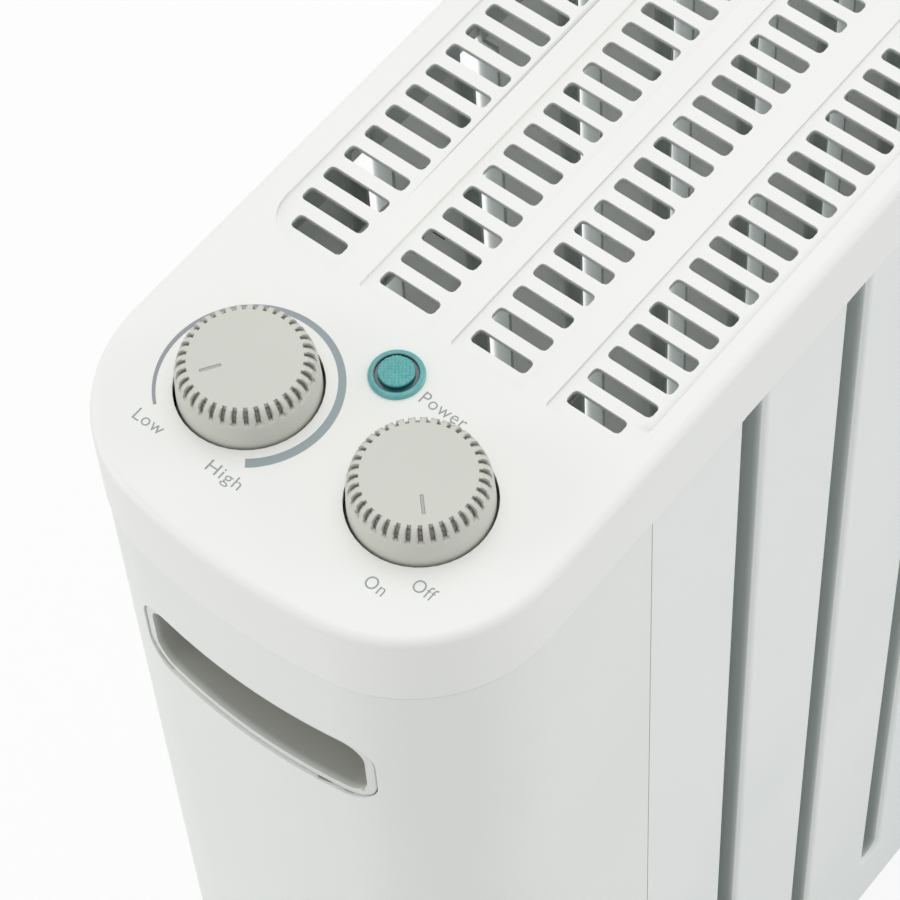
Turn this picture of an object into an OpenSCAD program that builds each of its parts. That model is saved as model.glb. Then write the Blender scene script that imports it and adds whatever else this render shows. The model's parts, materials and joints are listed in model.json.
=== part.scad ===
// Oil-free radiator heater: a slim casing on castors, with a slotted top and two control knobs.
// X runs along the heater, away from the control end. The long face seen first looks along -Y.
// Z is up, and the floor under the castors is z = 0. All sizes are in millimetres.

/* [Casing] */
// Length of the casing over both end covers
body_l = 552; // [530:1:620]
// Depth of the casing over the top cover's skirt
body_d = 135; // [130:1:150]
// Height of the casing from the base pan to the top plate
casing_h = 478; // [440:1:540]
// Radius of the casing's four corners, seen from above
corner_r = 44; // [38:1:47]
// Radius of the gentle bow of each end face
bow_r = 190; // [175:5:230]
// Length of the control end cover, from the end to its seam
control_l = 88; // [85:1:96]
// Length of the far end cover, from the end to its seam
far_l = 50; // [48:1:70]
// Wall of the moulded end covers
cover_t = 2; // [1.6:0.1:2.4]
// How far the end covers stand in from the skirt
cover_inset = 0.5; // [0.3:0.1:1.4]

/* [Top cover] */
// Thickness of the top plate
plate_t = 2.5; // [2:0.1:3.5]
// Height of the skirt that hangs round the top plate
skirt_h = 27; // [22:1:34]
// Thickness of the skirt
skirt_t = 2; // [1.8:0.1:2.2]
// Radius of the rounded edge between plate and skirt
top_edge_r = 3; // [2.5:0.5:5]

/* [Outlet slots] */
// Distance from one slot to the next
slot_pitch = 8.5; // [8:0.5:10]
// Width of a slot
slot_w = 4.6; // [3.6:0.2:5.4]
// Length of a slot in the two inner rows
inner_slot_l = 17.8; // [14:0.2:19]
// Length of a slot in the two outer rows
outer_slot_l = 20.2; // [16:0.2:21]
// How much shorter the first and last slots of the outer rows are
short_slot_cut = 3.4; // [2:0.2:5]
// Radius of a slot's corners
slot_corner_r = 1.3; // [0.8:0.1:1.6]
// Distance of the inner rows from the middle
inner_row_y = 14.9; // [13.5:0.1:15.5]
// Distance of the outer rows from the side of the skirt
outer_row_in = 20.8; // [19.5:0.1:21.5]
// Distance of the rows' middle in front of the casing's middle
rows_forward = 1.2; // [0:0.1:1.5]
// Distance from the control end to the first slot
slots_from_control = 92.3; // [91:0.1:100]
// Least distance from the last slot to the far end
slots_from_far = 60; // [60:1:80]
// Depth of the shallow channel that each row lies in
channel_depth = 1; // [0.6:0.1:1.4]
// Margin of the channel round its slots
channel_margin = 2.8; // [2:0.1:3.2]
// Radius of the channels' outer corners
channel_corner_r = 11; // [6:1:12]

/* [Front and rear panels] */
// Number of upright gaps in each panel
gap_n = 8; // [7:1:9]
// Extra width of the panel's strip beside each end cover
end_strip = 3; // [0:0.5:6]
// Width of a gap
gap_w = 9.6; // [7:0.2:11]
// Height of the plain strip under the gaps
plinth_h = 31; // [26:1:45]
// Thickness of the sheet
sheet_t = 1.2; // [1:0.1:1.5]
// Radius of the rolled edges beside a gap
roll_r = 2; // [2:0.5:3]
// Depth of the lips turned in beside a gap
lip_d = 8; // [6:0.5:12]

/* [Knobs] */
// Radius of a knob where it passes the top plate
knob_r = 18.6; // [16:0.2:19.8]
// Radius of a knob at its shoulder
knob_top_r = 17.5; // [14:0.1:17.8]
// Height of a knob over the top plate
knob_h = 12.2; // [11:0.2:16]
// Gap between a knob and the hole round it
knob_gap = 0.8; // [0.5:0.1:1.4]
// Number of grip notches round a knob
notch_n = 36; // [24:1:42]
// Width of a grip notch
notch_w = 1.2; // [0.8:0.1:1.5]
// Distance of the knobs from the control end
knob_from_end = 45.5; // [42:0.5:47]
// Distance of each knob from the middle
knob_y = 27.8; // [26:0.2:30]
// Direction of the thermostat knob's mark at its low stop
low_mark_a = 146; // [140:1:160]
// Direction of the power knob's mark at off
off_mark_a = -135; // [-145:1:-125]
// Radius of the two spindles
spindle_r = 3; // [2.5:0.1:3.5]

/* [Power lamp] */
// Radius of the lens flange on the plate
lens_flange_r = 7.4; // [6.8:0.1:8.2]
// Radius of the lens dome
lens_r = 5.4; // [4.6:0.1:5.8]
// Distance of the lamp from the control end
lamp_from_end = 70.2; // [68:0.1:72]

/* [Hand holds] */
// Width of the opening in each end cover
hold_w = 78; // [70:1:84]
// Height of the opening
hold_h = 31; // [27:1:36]
// Distance from the top plate down to the opening
hold_drop = 58; // [50:1:90]
// Distance of the opening in front of the casing's middle
hold_forward = 1.6; // [0:0.1:2]
// Depth of the pocket behind the opening
hold_depth = 30; // [24:1:34]
// Wall of the pocket
hold_t = 1.8; // [1.4:0.1:2.4]

/* [Heating elements] */
// Radius of a heating rod
rod_r = 4.2; // [3.5:0.1:5]
// Reach of the fins from the middle of the rod
fin_reach = 21; // [16:0.5:22]
// Thickness of a fin
fin_t = 1.6; // [1.2:0.1:2.4]
// Height of the rods over the base pan
element_up = 82; // [60:1:110]
// Distance of each rod from the middle
element_y = 27; // [25:0.5:32]

/* [Feet and castors] */
// Length of a foot, across the heater
foot_l = 250; // [230:2:280]
// Width of a foot, along the heater
foot_w = 58; // [54:1:62]
// Height of a foot at its middle
foot_h = 22; // [20:1:28]
// Height of a foot's ends
foot_end_h = 14; // [13:0.5:18]
// Distance from the end of the casing to the middle of a foot
foot_from_end = 46; // [45:1:50]
// Height of a castor under its foot
castor_h = 48; // [46:1:54]
// Radius of a castor wheel
wheel_r = 20; // [17:0.5:21]
// Width of one wheel of the pair
wheel_w = 9; // [7:0.5:11]
// Distance of the axle behind the kingpin
castor_trail = 12; // [9:0.5:14]
// Radius of a castor's kingpin
kingpin_r = 4; // [3.5:0.1:4.5]
// Radius of a castor's axle
axle_r = 3; // [2.5:0.1:3.5]

/* [Hidden] */
$fn = 64;

// Clearances shared by the pieces
running_gap = 0.05;
seat_gap = 0.3;
seam_gap = 0.4;
thread_gap = 0.05;

// Heights
base_z = castor_h + foot_h;
top_z = base_z + casing_h;
plate_under_z = top_z - plate_t;
skirt_z = top_z - skirt_h;
gap_bottom_z = base_z + plinth_h;
gap_top_z = skirt_z + 7;

// Places along the heater
end_x = body_l / 2;
seam_x = -end_x + control_l;
far_seam_x = end_x - far_l;
knob_x = -end_x + knob_from_end;
lamp_x = -end_x + lamp_from_end;
foot_x = end_x - foot_from_end;

// Insets from the skirt's outer face
panel_inset = skirt_t + seat_gap;
panel_back = panel_inset + sheet_t;
panel_top_z = plate_under_z - top_edge_r + skirt_t;
frame_inset = panel_back;
tongue_inset = skirt_t + seat_gap;
tongue_h = 14;
tongue_root = 8;
seam_lip_r = 1.2;
seam_lip_z = skirt_z - seat_gap;

// The plan outline: straight sides, four corner arcs and a bowed end
corner_y = body_d / 2 - corner_r;
corner_a = asin(corner_y / (bow_r - corner_r));
bow_x = -end_x + bow_r;
corner_x = bow_x - (bow_r - corner_r) * cos(corner_a);
corner_steps = 12;
bow_steps = 6;
edge_steps = 8;
lap_in = 0.05;
lap_l = 0.5;
lap_a = 1;
rim_w = top_edge_r + 2;
rim_overlap = 1;

// Sheet metal of the inner frame
frame_t = 1.2;
pan_t = 1.5;
pan_wall_h = 15;
pan_rim_w = 4;
pan_top_z = base_z + pan_t;
flange_l = 14;
frame_half = body_d / 2 - frame_inset;
frame_top_z = plate_under_z - 6;
stay_h = element_up + fin_reach + 16;

// Control unit
bracket_t = 1.5;
bracket_top_z = plate_under_z - 12;
bracket_half = 46;
bracket_reach = 20;
bracket_flange_h = 25;
bracket_screw_y = bracket_half - 10;
bracket_screw_z = bracket_top_z - bracket_flange_h + 8;
bushing_r = spindle_r + 2;
bushing_h = 7;
nut_r = bushing_r + 3.5;
nut_h = 3.4;
unit_t = 24;
spindle_sink = 14;
knob_sink = 4;
knob_wall = 2.2;
knob_edge_r = 2.8;
knob_band_h = 7.4;
knob_hub_r = spindle_r + 3;
notch_depth = 1;
mark_from_edge = 3;
mark_w = 0.9;
mark_l = 5.6;
mark_depth = 0.4;

// Flat tabs that wires push on
tab_t = 0.8;
tab_w = 6;
tab_l = 7;

// Overheat cut-out and its strip
cutout_r = 8;
cutout_h = 7;
cutout_neck_r = 4;
cutout_strip_h = 14;
cutout_foot_l = 10;

// Power lamp
lens_flange_h = 1.2;
lens_dome_h = 2.4;
lens_stem_r = lens_r + 0.5;
lens_stem_l = plate_t + 1;
lens_bore_r = lens_stem_r + seat_gap;
lamp_body_h = 24;
lamp_bottom_z = top_z - lens_stem_l - lamp_body_h;
lamp_ring_h = 3;
lamp_tab_w = 3;
lamp_tab_l = 6;

// Hand holds
hold_z = top_z - hold_drop - hold_h / 2;
hold_corner_r = 10;
hold_rim = 2.6;
hold_clear = 0.5;
hold_front_inset = cover_inset + 1;
hold_flange = 3;

// Ribs above a hand hold, where the bowed wall meets the corners inside the cover
rib_w = 3;
rib_l = 6;
rib_low_x = bow_x - (bow_r - cover_inset - cover_t / 2) * cos(corner_a);
rib_high_x = bow_x - (bow_r - tongue_inset - cover_t / 4) * cos(corner_a);
rib_y = (bow_r - cover_inset - cover_t) * sin(corner_a);
rib_z = hold_z + hold_h / 2 + hold_flange + 1;
rib_step_z = seam_lip_z - tongue_root + 1;
rib_top_z = seam_lip_z + tongue_h - 2;

// Outlet slots
slot_n = floor((body_l - slots_from_control - slots_from_far) / slot_pitch) + 1;
first_slot_x = -end_x + slots_from_control;
last_slot_x = first_slot_x + (slot_n - 1) * slot_pitch;
outer_row_y = body_d / 2 - outer_row_in;
channel_end = slot_w / 2 + channel_margin + 2;
channel_x0 = first_slot_x - channel_end;
channel_x1 = last_slot_x + channel_end;
channel_inner_r = 1.6;
ridge_y = (inner_row_y + inner_slot_l / 2 + outer_row_y - outer_slot_l / 2) / 2;
cover_boss_r = 3.6;
cover_boss_bore = 5;
cover_tab_w = 12;

// Panels
panel_x0 = seam_x + seam_gap / 2;
panel_x1 = far_seam_x - seam_gap / 2;
gap_pitch = (far_seam_x - seam_x + gap_w - 2 * end_strip) / (gap_n + 1);
first_gap_x = seam_x + end_strip + gap_pitch - gap_w / 2;
gap_xs = [for (i = [0:gap_n - 1]) first_gap_x + i * gap_pitch];
gap_centre_z = gap_bottom_z + gap_w / 2;
gap_mouth_r = gap_w / 2 + roll_r;
roll_overlap = 1;
roll_steps = 6;
panel_y = body_d / 2 - panel_inset;
panel_raise = panel_inset - cover_inset;
cutout_x = first_gap_x - 4;
cutout_y = frame_half - frame_t - 12;
cutout_z = skirt_z - 12;

// Heating elements
element_z = pan_top_z + element_up;
fin_gap = 20;
hub_r = rod_r + 4;
bush_r = rod_r + 3.8;
bush_flange_r = bush_r + 3;
bush_flange_t = 3;
rod_over = 16;
stud_r = 1.6;
stud_l = 12;

// Base pan, with a field between the feet that stands a little proud of the rest of its underside
inlet_pitch = 12;
inlet_w = 5;
inlet_l = 36;
inlet_y = 30;
inlet_x0 = seam_x + flange_l + 10;
inlet_x1 = foot_x - foot_w / 2 - 10;
inlet_n = floor((inlet_x1 - inlet_x0 - inlet_w) / inlet_pitch);
field_drop = 1;
field_margin = 1.5;
field_half = inlet_y + inlet_l / 2 + field_margin;
field_x0 = inlet_x0 - 4;
field_x1 = inlet_x0 + inlet_n * inlet_pitch + inlet_w + 4;

// Screws between the pan and the upright plates, and the stay halfway between two gaps
frame_screw_y = inlet_y + inlet_l / 2 + 6;
stay_x = first_gap_x + gap_n / 2 * gap_pitch - gap_w;
frame_screw_xs = [seam_x + flange_l / 2, far_seam_x - flange_l / 2, stay_x + flange_l / 2];

// Terminal block, wires and tilt switch
terminal_z = pan_top_z + 96;
terminal_h = 18;
terminal_d = 16;
terminal_w = 36;
terminal_n = 3;
trunk_r = 3;
branch_r = 1.6;
lead_r = 1.2;
eyelet_r = 3.4;
eyelet_t = 2;
barrel_r = 1.7;
barrel_l = 6;
barrel_low = 2.3;
bend_over = 0.5;
trunk_x = seam_x - frame_t - 9;
trunk_top_z = bracket_top_z - bracket_flange_h - 22;
lead_x = seam_x - frame_t - rod_over - stud_l / 2;
far_lead_x = far_seam_x + frame_t + rod_over + stud_l / 2;
clip_r = 5;
clip_h = 8;
clip_low = 60;
clip_high = 40;
tilt_x = -end_x + 42;
tilt_y = -14;
tilt_l = 22;
tilt_w = 18;
tilt_h = 30;
tilt_flange_l = 32;
tilt_flange_t = 2;
tilt_top_z = pan_top_z + tilt_h;

// Cord gland
gland_from_end = 64;
gland_up = 32;
gland_r = 6.8;
gland_bore_r = 4;
gland_flange_r = 10;

// Screws
screw_r = 1.6;
screw_head_r = 3.6;
screw_head_h = 2;
bolt_r = 2.4;
bolt_head_r = 4.6;
bolt_head_h = 3;
boss_r = 6.5;
boss_h = 26;
boss_y = 30;
boss_in = 11;
boss_xs = [-end_x + boss_in, end_x - boss_in];
foot_bolt_out = 8;
foot_bolt_xs = [-foot_x - foot_bolt_out, foot_x + foot_bolt_out];
foot_bolt_y = 40;
foot_top_t = 4;
foot_wall = 6;

// Castors
castor_y = foot_l / 2 - foot_w / 2;
web_half = 3.5;
wheel_side_gap = 0.5;
hood_gap = 1.5;
hood_t = 2;
castor_plate_r = 11;
castor_top_z = castor_h - seat_gap;
kingpin_l = foot_end_h - 3;

// Colours
shell_white = [0.93, 0.93, 0.91];
panel_white = [0.90, 0.91, 0.90];
knob_grey = [0.80, 0.80, 0.77];
cup_grey = [0.86, 0.86, 0.84];
steel_grey = [0.66, 0.68, 0.69];
fin_silver = [0.78, 0.79, 0.80];
dark_grey = [0.22, 0.23, 0.24];
ceramic_white = [0.92, 0.90, 0.84];
lens_teal = [0.16, 0.66, 0.64, 0.8];

// Points of one quarter turn round a corner
function corner_points(x, y, r, from_a, steps) =
    [for (i = [0:steps]) [x + r * cos(from_a + i * 90 / steps), y + r * sin(from_a + i * 90 / steps)]];

// Points of a box with a radius for each corner: low-low, high-low, high-high, low-high
function box_points(x0, y0, x1, y1, radii, steps) = concat(
    corner_points(x0 + radii[0], y0 + radii[0], radii[0], 180, steps),
    corner_points(x1 - radii[1], y0 + radii[1], radii[1], 270, steps),
    corner_points(x1 - radii[2], y1 - radii[2], radii[2], 0, steps),
    corner_points(x0 + radii[3], y1 - radii[3], radii[3], 90, steps)
);

module tube(outer_r, inner_r, h) {
    difference() {
        cylinder(r = outer_r, h = h);
        translate([0, 0, -1]) cylinder(r = inner_r, h = h + 2);
    }
}

// Part of a disc between two directions less than a half turn apart
module pie(r, from_a, to_a) {
    far = 2 * r;
    mid_a = (from_a + to_a) / 2;
    intersection() {
        circle(r = r, $fn = 96);
        polygon([
            [0, 0],
            [far * cos(from_a), far * sin(from_a)],
            [far * cos(mid_a), far * sin(mid_a)],
            [far * cos(to_a), far * sin(to_a)]
        ]);
    }
}

// Sweeps a section round the plan. It is drawn with x = 0 on the skirt's outer face and its inside at -x.
// With lap the corners lie a hair further in, so that each stretch runs a little way into the next.
module round_plan(lap = 1) {
    for (side = [0, 1]) mirror([0, side, 0]) {
        translate([corner_x - lap * lap_l, body_d / 2, 0]) rotate([90, 0, 90])
            linear_extrude(2 * (lap * lap_l - corner_x)) children();
        for (end = [0, 1]) mirror([end, 0, 0]) translate([corner_x, corner_y, 0]) rotate([0, 0, 90])
            rotate_extrude(angle = 90 - corner_a + lap * lap_a, $fn = 96)
                translate([corner_r - lap * lap_in, 0]) children();
    }
    for (end = [0, 1]) mirror([end, 0, 0]) translate([bow_x, 0, 0]) rotate([0, 0, 180 - corner_a])
        rotate_extrude(angle = 2 * corner_a, $fn = 96) translate([bow_r, 0]) children();
}

// Flat plate over the plan drawn in by inset, its arcs as short chords that a swept rim covers
module plan_plate(inset, h) {
    corner_step = (90 - corner_a) / corner_steps;
    bow_step = 2 * corner_a / bow_steps;
    quarter = [for (i = [0:corner_steps - 1]) let (a = 90 + (i + 0.5) * corner_step)
        [corner_x + (corner_r - inset) * cos(a), corner_y + (corner_r - inset) * sin(a)]];
    bow = [for (i = [0:bow_steps - 1]) let (a = 180 - corner_a + (i + 0.5) * bow_step)
        [bow_x + (bow_r - inset) * cos(a), (bow_r - inset) * sin(a)]];
    far = len(quarter) - 1;
    end = concat(quarter, bow, [for (i = [0:far]) [quarter[far - i].x, -quarter[far - i].y]]);
    last = len(end) - 1;
    linear_extrude(h) polygon(concat(end, [for (i = [0:last]) [-end[last - i].x, end[last - i].y]]));
}

// One slot row's outlines, from the first slot to the last
module slot_row(y, length, cut_low, cut_high) {
    for (i = [0:slot_n - 1]) {
        is_end = i == 0 || i == slot_n - 1;
        x = first_slot_x + i * slot_pitch;
        low = y - length / 2 + (is_end ? cut_low : 0);
        high = y + length / 2 - (is_end ? cut_high : 0);
        r = slot_corner_r;
        polygon(box_points(x - slot_w / 2, low, x + slot_w / 2, high, [r, r, r, r], 2));
    }
}

module slot_field() {
    slot_row(-outer_row_y, outer_slot_l, short_slot_cut, 0);
    slot_row(-inner_row_y, inner_slot_l, 0, 0);
    slot_row(inner_row_y, inner_slot_l, 0, 0);
    slot_row(outer_row_y, outer_slot_l, 0, short_slot_cut);
}

// The shallow channels that the rows lie in
module channel_field() {
    small = channel_inner_r;
    big = channel_corner_r;
    inner_half = inner_slot_l / 2 + channel_margin;
    outer_half = outer_slot_l / 2 + channel_margin;
    for (side = [-1, 1])
        polygon(box_points(channel_x0, side * inner_row_y - inner_half, channel_x1,
            side * inner_row_y + inner_half, [small, small, small, small], 3));
    polygon(box_points(channel_x0, -outer_row_y - outer_half, channel_x1, -outer_row_y + outer_half,
        [big, big, small, small], 6));
    polygon(box_points(channel_x0, outer_row_y - outer_half, channel_x1, outer_row_y + outer_half,
        [small, small, big, big], 6));
}

// Skirt, rounded edge and the rim of the plate
module skirt_section() {
    inner_r = top_edge_r - skirt_t;
    fillet_z = skirt_h - plate_t - inner_r;
    polygon(concat(
        [[-skirt_t, 0], [0, 0]], corner_points(-top_edge_r, skirt_h - top_edge_r, top_edge_r, 0, edge_steps),
        [[-rim_w, skirt_h], [-rim_w, skirt_h - plate_t]],
        [for (i = [0:edge_steps]) [-top_edge_r + inner_r * sin(i * 90 / edge_steps),
            fillet_z + inner_r * cos(i * 90 / edge_steps)]]));
}

// Places its children on the tabs of the two partitions, at the foot of the cover's bosses
module at_cover_screws() {
    for (x = [seam_x + flange_l / 2, far_seam_x - flange_l / 2], side = [-1, 1])
        translate([x, side * ridge_y, frame_top_z]) children();
}

module top_cover() {
    color(shell_white) difference() {
        union() {
            translate([0, 0, skirt_z]) round_plan() skirt_section();
            translate([0, 0, plate_under_z]) plan_plate(rim_w - rim_overlap, plate_t);
            at_cover_screws() cylinder(r = cover_boss_r, h = plate_under_z + 0.5 - frame_top_z);
        }
        at_cover_screws() translate([0, 0, -1]) cylinder(r = screw_r + thread_gap, h = cover_boss_bore + 1);
        translate([0, -rows_forward, top_z - channel_depth])
            linear_extrude(channel_depth + 1) channel_field();
        translate([0, -rows_forward, plate_under_z - 1]) linear_extrude(plate_t + 2) slot_field();
        for (side = [-1, 1]) translate([knob_x, side * knob_y, plate_under_z - 1])
            cylinder(r = knob_r + knob_gap, h = plate_t + 2);
        translate([lamp_x, 0, plate_under_z - 1]) cylinder(r = lens_bore_r, h = plate_t + 2);
    }
}

// Outline of a hand hold, drawn in by inset, with the middle of the opening at the origin
module hold_outline(inset) {
    w = hold_w - 2 * inset;
    h = hold_h - 2 * inset;
    r = hold_corner_r - inset;
    polygon(box_points(-w / 2, -h / 2, w / 2, h / 2, [r, r, r, r], 8));
}

// A hand hold outline pushed in from the control end by depth
module hold_cut(inset, depth) {
    translate([-end_x - 1, -hold_forward, hold_z]) rotate([90, 0, 90])
        linear_extrude(depth + 1) hold_outline(inset);
}

// A rib seen along Y: it sits in the wall and, higher up, behind the tongue's outer face
module rib_outline() {
    polygon([
        [rib_low_x, rib_z], [rib_low_x, rib_step_z], [rib_high_x, rib_step_z], [rib_high_x, rib_top_z],
        [rib_high_x + rib_l, rib_top_z], [rib_high_x + rib_l, rib_z]
    ]);
}

// Wall of an end cover, with the tongue that stands up inside the skirt
module end_cover_section() {
    wall_h = seam_lip_z - base_z;
    wall_in = cover_inset + cover_t;
    tongue_in = tongue_inset + cover_t;
    polygon([
        [-wall_in, 0], [-cover_inset, 0], [-cover_inset, wall_h - seam_lip_r],
        [-cover_inset - 0.3 * seam_lip_r, wall_h - 0.3 * seam_lip_r], [-cover_inset - seam_lip_r, wall_h],
        [-tongue_inset, wall_h], [-tongue_inset, wall_h + tongue_h], [-tongue_in, wall_h + tongue_h],
        [-tongue_in, wall_h - tongue_root], [-wall_in, wall_h - tongue_root - cover_t]
    ]);
}

// End cover drawn at the control end, reaching from the end to its seam
module end_cover(length, has_gland) {
    edge_x = -end_x + length - seam_gap / 2;
    difference() {
        union() {
            translate([0, 0, base_z]) round_plan(0) end_cover_section();
            for (side = [-1, 1]) {
                translate([0, side * rib_y + rib_w / 2, 0]) rotate([90, 0, 0])
                    linear_extrude(rib_w) rib_outline();
                translate([-end_x + boss_in, side * boss_y, pan_top_z]) cylinder(r = boss_r, h = boss_h);
            }
        }
        translate([edge_x, -body_d, 0]) cube([2 * body_l, 2 * body_d, 2 * top_z]);
        translate([edge_x - frame_t - 2 * seat_gap, -frame_half - seat_gap, 0])
            cube([body_l, 2 * (frame_half + seat_gap), 2 * top_z]);
        for (side = [-1, 1]) translate([-end_x + boss_in, side * boss_y, pan_top_z - 1])
            cylinder(r = screw_r + thread_gap, h = boss_h);
        hold_cut(0, hold_depth);
        if (has_gland) translate([-end_x + gland_from_end, 0, base_z + gland_up]) rotate([-90, 0, 0])
            cylinder(r = gland_r + running_gap, h = body_d);
    }
}

module control_end_cover() {
    color(shell_white) end_cover(control_l, true);
}

module far_end_cover() {
    color(shell_white) mirror([1, 0, 0]) end_cover(far_l, false);
}

// Pocket behind a hand hold, with a rim that follows the bowed end and a flange behind the cover
module grip_cup() {
    back_inset = cover_inset + cover_t + running_gap;
    difference() {
        union() {
            intersection() {
                hold_cut(hold_clear, hold_depth);
                translate([bow_x, 0, base_z]) cylinder(r = bow_r - hold_front_inset, h = casing_h, $fn = 96);
            }
            intersection() {
                hold_cut(-hold_flange, hold_depth);
                translate([0, 0, hold_z - hold_h]) round_plan()
                    translate([-back_inset - hold_t, 0]) square([hold_t, 2 * hold_h]);
            }
        }
        hold_cut(hold_clear + hold_rim, hold_depth - hold_t);
    }
}

module control_grip_cup() {
    color(cup_grey) grip_cup();
}

module far_grip_cup() {
    color(cup_grey) mirror([1, 0, 0]) grip_cup();
}

// Rolled edge and lip in section: the mouth lies at x = 0 and the sheet's outer face at y = 0
module rolled_edge() {
    inner_r = roll_r - sheet_t;
    flat = roll_r + roll_overlap;
    polygon(concat(
        [[0, lip_d]], corner_points(roll_r, roll_r, roll_r, 180, roll_steps), [[flat, 0], [flat, sheet_t]],
        [for (i = [0:roll_steps]) [roll_r - inner_r * sin(i * 90 / roll_steps),
            roll_r - inner_r * cos(i * 90 / roll_steps)]],
        [[sheet_t, lip_d]]));
}

// Section of a panel: the raised face, the step under the skirt and the tongue behind it
module panel_section() {
    polygon(concat(
        [[sheet_t, base_z], [sheet_t, panel_top_z], [0, panel_top_z], [0, seam_lip_z]],
        [[-panel_raise + seam_lip_r, seam_lip_z],
            [-panel_raise + 0.3 * seam_lip_r, seam_lip_z - 0.3 * seam_lip_r],
            [-panel_raise, seam_lip_z - seam_lip_r], [-panel_raise, base_z]]));
}

// Panel with its outer face looking along -Y, stamped as a shallow tray with its back open
module vent_panel() {
    cut_r = gap_mouth_r + roll_overlap / 2;
    roll_top_z = seam_lip_z - seam_lip_r;
    full_t = panel_raise + sheet_t + 2;
    translate([0, -panel_y, 0]) {
        difference() {
            translate([panel_x0, 0, 0]) rotate([90, 0, 90])
                linear_extrude(panel_x1 - panel_x0) panel_section();
            translate([panel_x0 + sheet_t, sheet_t - panel_raise, base_z + sheet_t])
                cube([panel_x1 - panel_x0 - 2 * sheet_t, full_t, seam_lip_z - base_z - 2 * sheet_t]);
            for (x = gap_xs) {
                translate([x, -panel_raise - 1, gap_centre_z]) rotate([-90, 0, 0])
                    cylinder(r = cut_r, h = full_t);
                translate([x - cut_r, -panel_raise - 1, gap_centre_z])
                    cube([2 * cut_r, full_t, roll_top_z - gap_centre_z]);
                translate([x - gap_w / 2, -panel_raise - 1, gap_centre_z])
                    cube([gap_w, full_t, gap_top_z - gap_centre_z]);
            }
        }
        for (x = gap_xs) translate([x, -panel_raise, gap_centre_z]) {
            rotate([-90, 0, 0]) rotate_extrude(angle = 180) translate([gap_w / 2, 0]) rolled_edge();
            for (side = [0, 1]) mirror([side, 0, 0])
                linear_extrude(roll_top_z + roll_overlap / 5 - gap_centre_z)
                translate([gap_w / 2, 0]) rolled_edge();
        }
    }
}

module front_panel() {
    color(panel_white) vent_panel();
}

module rear_panel() {
    color(panel_white) mirror([0, 1, 0]) vent_panel();
}

// Tray that closes the bottom, with two rows of air inlets
module base_pan() {
    rim = frame_inset + pan_rim_w;
    wall_in = frame_inset + frame_t;
    color(steel_grey) difference() {
        translate([0, 0, base_z]) {
            round_plan() polygon([
                [-rim, 0], [-frame_inset, 0], [-frame_inset, pan_wall_h],
                [-wall_in, pan_wall_h], [-wall_in, pan_t], [-rim, pan_t]
            ]);
            plan_plate(rim - rim_overlap, pan_t);
            translate([field_x0, -field_half, -field_drop])
                cube([field_x1 - field_x0, 2 * field_half, field_drop + pan_t / 2]);
        }
        for (i = [0:inlet_n], side = [-1, 1])
            translate([inlet_x0 + i * inlet_pitch, side * inlet_y - inlet_l / 2, base_z - field_drop - 1])
                cube([inlet_w, inlet_l, pan_t + field_drop + 2]);
        for (x = boss_xs, side = [-1, 1]) translate([x, side * boss_y, 0]) {
            translate([0, 0, base_z - 1]) cylinder(r = screw_r + seat_gap, h = pan_t + 2);
            translate([0, 0, pan_top_z]) cylinder(r = boss_r + seat_gap, h = pan_wall_h);
        }
        for (x = foot_bolt_xs, side = [-1, 1])
            translate([x, side * foot_bolt_y, base_z - 1]) cylinder(r = bolt_r + seat_gap, h = pan_t + 2);
        for (x = frame_screw_xs, side = [-1, 1])
            translate([x, side * frame_screw_y, base_z - 1]) cylinder(r = screw_r + seat_gap, h = pan_t + 2);
    }
}

// Upright plate between the controls and the heating chamber, with its flanges towards +X
module end_frame(x) {
    wall_top = base_z + pan_wall_h + seat_gap;
    wall_h = frame_top_z - wall_top;
    foot_half = frame_half - frame_t - seat_gap;
    flange_out = flange_l + frame_t;
    translate([x, 0, 0]) difference() {
        union() {
            translate([-frame_t, -frame_half, wall_top]) cube([frame_t, 2 * frame_half, wall_h]);
            for (side = [0, 1]) mirror([0, side, 0]) translate([-frame_t, frame_half - frame_t, wall_top])
                cube([flange_out, frame_t, wall_h]);
            translate([-frame_t, -foot_half, pan_top_z]) {
                cube([frame_t, 2 * foot_half, wall_top - pan_top_z]);
                cube([flange_out, 2 * foot_half, frame_t]);
            }
            for (side = [-1, 1])
                translate([-frame_t, side * ridge_y - cover_tab_w / 2, frame_top_z - frame_t])
                    cube([flange_out, cover_tab_w, frame_t]);
        }
        for (side = [-1, 1]) {
            translate([-frame_t - 1, side * element_y, element_z]) rotate([0, 90, 0])
                cylinder(r = bush_r + running_gap, h = frame_t + 2);
            translate([flange_l / 2, side * frame_screw_y, pan_top_z - 1])
                cylinder(r = screw_r + thread_gap, h = frame_t + 2);
            translate([flange_l / 2, side * ridge_y, frame_top_z - frame_t - 1])
                cylinder(r = screw_r + seat_gap, h = frame_t + 2);
        }
    }
}

module control_partition() {
    color(steel_grey) difference() {
        end_frame(seam_x);
        for (side = [-1, 1]) translate([seam_x - frame_t - 1, side * bracket_screw_y, bracket_screw_z])
            rotate([0, 90, 0]) cylinder(r = screw_r + thread_gap, h = frame_t + 2);
    }
}

module far_partition() {
    color(steel_grey) mirror([1, 0, 0]) end_frame(-far_seam_x);
}

// Low plate halfway along that steadies the two elements
module middle_stay() {
    half = frame_half - frame_t - seat_gap;
    color(steel_grey) translate([stay_x, 0, 0]) difference() {
        translate([-frame_t, -half, pan_top_z]) {
            cube([frame_t, 2 * half, stay_h]);
            cube([flange_l + frame_t, 2 * half, frame_t]);
        }
        for (side = [-1, 1]) {
            translate([-frame_t - 1, side * element_y, element_z]) rotate([0, 90, 0])
                cylinder(r = fin_reach + seat_gap, h = frame_t + 2);
            translate([flange_l / 2, side * frame_screw_y, pan_top_z - 1])
                cylinder(r = screw_r + thread_gap, h = frame_t + 2);
        }
    }
}

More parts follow.
